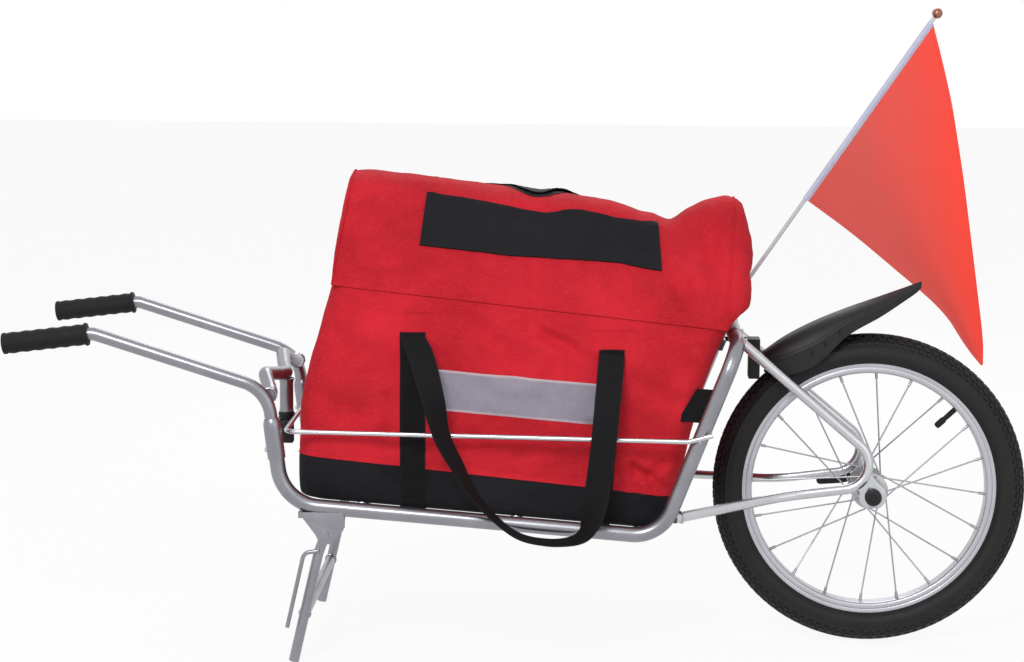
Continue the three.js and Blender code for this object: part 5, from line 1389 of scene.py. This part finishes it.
def makeLoop(name, side):
    rows, wide = loop["rows"], webbing["width"]
    centres = [loopCentre(i / rows, side) for i in range(rows + 1)]
    length = sum((b[0] - a[0]).length for a, b in zip(centres, centres[1:]))
    (frontAhead, frontUp), (rearAhead, rearUp) = loop["front"], loop["rear"]
    topLine = (at(frontAhead, 0, frontUp) - at(rearAhead, 0, rearUp)).normalized()

    def place(across, along):
        row = round(along * rows)
        centre, twist = centres[row]
        before, after = centres[max(0, row - 1)][0], centres[min(rows, row + 1)][0]
        heading = after - before
        heading.y = 0
        heading.normalize()
        level = Vector((heading.z, 0, -heading.x))
        if level.dot(topLine) < 0 and row < rows // 4:
            level.negate()
        end = topLine if row < rows // 2 else -topLine
        if level.dot(end) < 0 and (row < rows // 6 or row > rows * 5 // 6):
            level.negate()
        hold = max(1 - eased(along, 0.0, 0.05), eased(along, 0.965, 1))
        level = (level * (1 - hold) + end * hold).normalized()
        turn = twist * math.pi / 2
        line = level * math.cos(turn) + Vector((0, side * math.sin(turn), 0))
        cup = 0.5 * (1 - (across * 2 - 1) ** 2)
        out = Vector((0, side, 0)) * math.cos(turn) - level * math.sin(turn)
        return centre + line * (across - 0.5) * wide * mm + out * (loop["thick"] / 2 + 0.15 + cup) * mm
    tape = laidGrid(f"{name}_loop_tape", 10, rows, place, (wide, length / mm))
    useModifier(tape, "SOLIDIFY", thickness=loop["thick"] * mm, offset=0)
    finishPiece(tape, webbingTape, f"{name}_loop", [f"{name}_carry_loop"], 60)


# tie straps: a tab from the bag's side to the inner side of the rear post
tie = {"low": 305, "high": 346, "frontLow": 250, "frontHigh": 226, "thick": 1.8}


def makeTie(name, side):
    def place(across, along):
        up = tie["low"] + (tie["high"] - tie["low"]) * along
        front = tie["frontLow"] + (tie["frontHigh"] - tie["frontLow"]) * along
        rear = rearPostAhead(up) + 4
        ahead = front + (rear - front) * across
        out = 143.4 + 5.6 * eased(across, 0.1, 0.85) + 0.5 * math.sin(along * math.pi)
        return at(ahead, side * out, up)
    tab = laidGrid(f"{name}_tie_tab", 14, 14, place, (30, 41))
    thicken(tab, tie["thick"], (0, side, 0))
    finishPiece(tab, webbingTape, "frame", [f"{name}_tie_strap"], 50)


for name, side in twoSides:
    makeStrip(name, side)
for which in ("front", "rear"):
    makeWebbing(which)
for name, side in twoSides:
    makeLoop(name, side)
    makeTie(name, side)
print("straps done")

# mudguard: a pressed blade with a crease along each flank and three short ribs
guard = {"front": (136.9, 374.2), "length": 198, "rise": 91, "skirt": 62, "half": 33, "wall": 2.2,
         "tongueUp": 389}
guardStations = [(0, 0, 0.4, 0.6), (0.14, 0.22, 0.78, 0.9), (0.33, 0.44, 0.85, 1), (0.52, 0.61, 0.52, 0.95),
                 (0.74, 0.785, 0.37, 0.75), (0.9, 0.915, 0.24, 0.42), (0.97, 0.975, 0.18, 0.25),
                 (1, 1, 0.13, 0.12)]
guardSection = [(0, 0, 0), (0.28, 0.38, 0.05), (0.46, 0.62, 0.14), (0.62, 0.8, 0.27), (0.75, 0.945, 0.45),
                (0.8, 0.975, 0.52), (0.9, 0.99, 0.76), (1, 1, 1)]


def guardPlace(across, along, proud=0.0):
    rise, skirt, width = through(guardStations, along)
    side = 1 if across > 0.5 else -1
    out, down = through(guardSection, abs(across * 2 - 1))
    front = guard["front"]
    crease = 1 - eased(abs(abs(across * 2 - 1) - 0.77), 0, 0.05)
    return at(front[0] - along * guard["length"],
              side * (out * width * guard["half"] + proud + 1.1 * crease * (1 - along)),
              front[1] + rise * guard["rise"] - down * skirt * guard["skirt"])


def makeGuard():
    blade = laidGrid("mudguard_blade", 96, 110, guardPlace)
    thicken(blade, guard["wall"], (0, 0, 1), -1)
    useModifier(blade, "BEVEL", width=0.5 * mm, segments=2, limit_method="ANGLE",
                angle_limit=math.radians(60))
    finishPiece(blade, guardPlastic, "frame", ["mudguard"], 40)
    ribs = []
    for side in (-1, 1):
        for along, low, high in ((0.3, 0.84, 0.895), (0.38, 0.83, 0.885), (0.47, 0.82, 0.885)):
            points = [guardPlace(0.5 + side * (low + (high - low) * i / 6) / 2, along + 0.008 * i / 6, 0.6)
                      for i in range(7)]
            ribs.append(roundLine("rib", points, 1.3, 2))
    finishPiece(joined("mudguard_ribs", *ribs), guardPlastic, "frame", [], 50)
    bracket = softenedCopy("mudguard_bracket", "mudguard_bracket_block", 1.2, 3)
    for vertex in bracket.data.vertices:
        # the tongue's top rests low behind the tube
        tongue = guard["tongueUp"] * mm
        vertex.co.z = min(vertex.co.z, tongue + (vertex.co.z - tongue) * 0.1)
    finishPiece(bracket, plastic, "frame", ["mudguard_bracket"])


makeGuard()
print("mudguard done")

# flag: clip, pole, ball, hem sleeve and the pennant
flag = {"side": 173, "foot": (205.2, 362), "top": (-89, 794), "pole": 2.8, "ball": 7, "hem": 284,
        "hemTop": 7.2, "hemRadius": 5.3, "tail": (-167, 330), "wave": 2.6, "thick": 0.45, "clothRun": 345}
# clothRun is what the cloth's UV runs to at the tail, and its finish is set to it; it isn't the cloth's size
# how far the pennant's free edge and its lower edge bow out on the way to the tail, in mm
rearBow = [(0, 0), (0.11, 5.3), (0.225, 9.4), (0.34, 10.4), (0.455, 10.6), (0.63, 9), (0.774, 7.4), (0.92, 5),
           (1, 0)]
foreBow = [(0, 0), (0.25, 12), (0.5, 19), (0.7, 23), (0.8, 20), (0.88, 9), (0.94, 3), (1, 0)]


def makeFlag():
    foot = at(flag["foot"][0], flag["side"], flag["foot"][1])
    top = at(flag["top"][0], flag["side"], flag["top"][1])
    direction = (top - foot).normalized()
    length = (top - foot).length / mm
    radius = flag["pole"]
    clip = softenedCopy("flag_clip", "flag_clip_moulded", 0.7, 2)
    finishPiece(clip, plastic, "frame", ["flag_clip"])
    profile = [(0, 0.3), (radius - 0.5, 0.3), (radius, 0.8), (radius, length - 0.4), (radius - 0.4, length),
               (0, length)]
    pole = turnedPiece("flag_pole_rod", profile, foot, direction, 28)
    finishPiece(pole, poleFibre, "flag", ["flag_pole"])
    big = flag["ball"]
    profile = [(0, -big)]
    profile += [(big * math.sin(math.pi * i / 18), -big * math.cos(math.pi * i / 18)) for i in range(1, 18)]
    profile += [(0, big)]
    centre = foot + direction * (length + big + 0.3) * mm
    ball = turnedPiece("flag_ball_round", profile, centre, direction, 36)
    finishPiece(ball, ballCopper, "flag", ["flag_ball"], 60)

    # the hem: a flattened sleeve with a sewn lip towards the cloth
    away = Vector((direction.z, 0, -direction.x))
    start = length - flag["hemTop"] - flag["hem"]
    wide = flag["hemRadius"]

    def hemPlace(across, along):
        angle = across * math.tau
        slack = 1 + 0.05 * math.sin(along * 23) + 0.04 * math.sin(along * 57 + across * 6)
        # round the pole on the near side, drawn to a lip on the cloth's side
        toward = math.cos(angle)
        reach = wide * (toward * 0.92 + 0.08) if toward > 0 else radius * 1.25 * toward
        thick = (radius + 0.75) * math.sin(angle) * slack * (1 - 0.62 * max(0.0, toward))
        spot = foot + direction * (start + flag["hem"] * along) * mm
        return spot + away * reach * mm + crosswise * thick * mm
    hem = laidGrid("flag_hem_sleeve", 36, 120, hemPlace, (30, flag["hem"]))
    tidyNormals(hem, 1e-5)
    useModifier(hem, "SOLIDIFY", thickness=0.35 * mm, offset=-1)
    finishPiece(hem, hemCloth, "flag", ["flag_hem"], 60)

    low = foot + direction * (start + 0.4) * mm + away * (wide - 1.0) * mm
    high = foot + direction * (start + flag["hem"] - 0.4) * mm + away * (wide - 1.0) * mm
    tail = at(flag["tail"][0], flag["side"], flag["tail"][1])

    def clothPlace(across, along):
        drop = along * 0.99
        belly = math.sin(drop * math.pi)
        point = low.lerp(high, across).lerp(tail, drop)
        point.x += through(rearBow, drop)[0] * across ** 2 * mm
        point.z += through(foreBow, drop)[0] * (1 - across) ** 2 * mm
        wave = flag["wave"] * math.sin(across * 1.3 * math.tau + along * 1.2) * belly
        wave += 0.5 * crumple(point, 46, 8) * belly
        point.y += wave * mm
        return point
    cloth = laidGrid("flag_pennant", 110, 150, clothPlace, (flag["hem"], flag["clothRun"]))
    useModifier(cloth, "SOLIDIFY", thickness=flag["thick"] * mm, offset=0)
    finishPiece(cloth, pennantCloth, "flag", ["flag_cloth"], 60)


makeFlag()
print("flag done")


# studio: white floor that keeps the shadow, soft lamps, even sky
studio = {"sky": 0.5, "floorWhite": 0.9, "floorShade": (250, 250, 251),
          "key": {"place": (-0.7, -2.9, 2.5), "size": 1.1, "power": 66},
          "fill": {"place": (1.9, -2.6, 1.2), "size": 1.8, "power": 8},
          "back": {"place": (0.3, 2.3, 2.2), "size": 1.6, "power": 22}}


def makeStudio():
    clearSelection()
    bpy.ops.mesh.primitive_plane_add(size=1, location=(0, 0, 0))
    floor = settle("studio_floor")
    editAll(floor)
    bpy.ops.transform.resize(value=(24, 24, 1), center_override=(0, 0, 0))
    leaveEdit()
    finish = Finish("floorPaper")
    coordinates, _ = finish.place()
    grain = finish.cloudy(coordinates, 220, 2, 0.5)
    paper = finish.node("ShaderNodeBsdfDiffuse", None, {"Color": shade(*studio["floorShade"]),
                                                        "Normal": finish.bump(grain, 0.0001, 0.2)})
    glow = finish.node("ShaderNodeEmission", None, {"Color": (1, 1, 1, 1), "Strength": 1})
    mixed = finish.node("ShaderNodeMixShader", None, {0: finish.seen() * studio["floorWhite"],
                                                      1: paper.outputs[0], 2: glow.outputs[0]})
    finish.node("ShaderNodeOutputMaterial", None, {"Surface": mixed.outputs[0]})
    floor.data.materials.append(finish.material)

    for name in ("key", "fill", "back"):
        lamp = studio[name]
        data = bpy.data.lights.new(f"{name}_lamp", "AREA")
        data.size = lamp["size"]
        data.energy = lamp["power"]
        light = bpy.data.objects.new(f"{name}_lamp", data)
        place = Vector(lamp["place"])
        target = Vector((0.1, 0, 0.35))
        facing = (target - place).to_track_quat("-Z", "Y").to_matrix().to_4x4()
        light.matrix_world = Matrix.Translation(place) @ facing
        bpy.context.collection.objects.link(light)

    world = Finish("studio_sky", "worlds")
    even = world.node("ShaderNodeBackground", None, {"Color": (1, 1, 1, 1), "Strength": studio["sky"]})
    white = world.node("ShaderNodeBackground", None, {"Color": (1, 1, 1, 1)})
    mixed = world.node("ShaderNodeMixShader", None, {0: world.seen(), 1: even.outputs[0],
                                                     2: white.outputs[0]})
    world.node("ShaderNodeOutputWorld", None, {"Surface": mixed.outputs[0]})
    bpy.context.scene.world = world.material
    bpy.context.scene.view_settings.view_transform = "Standard"


makeStudio()
print("studio ready")
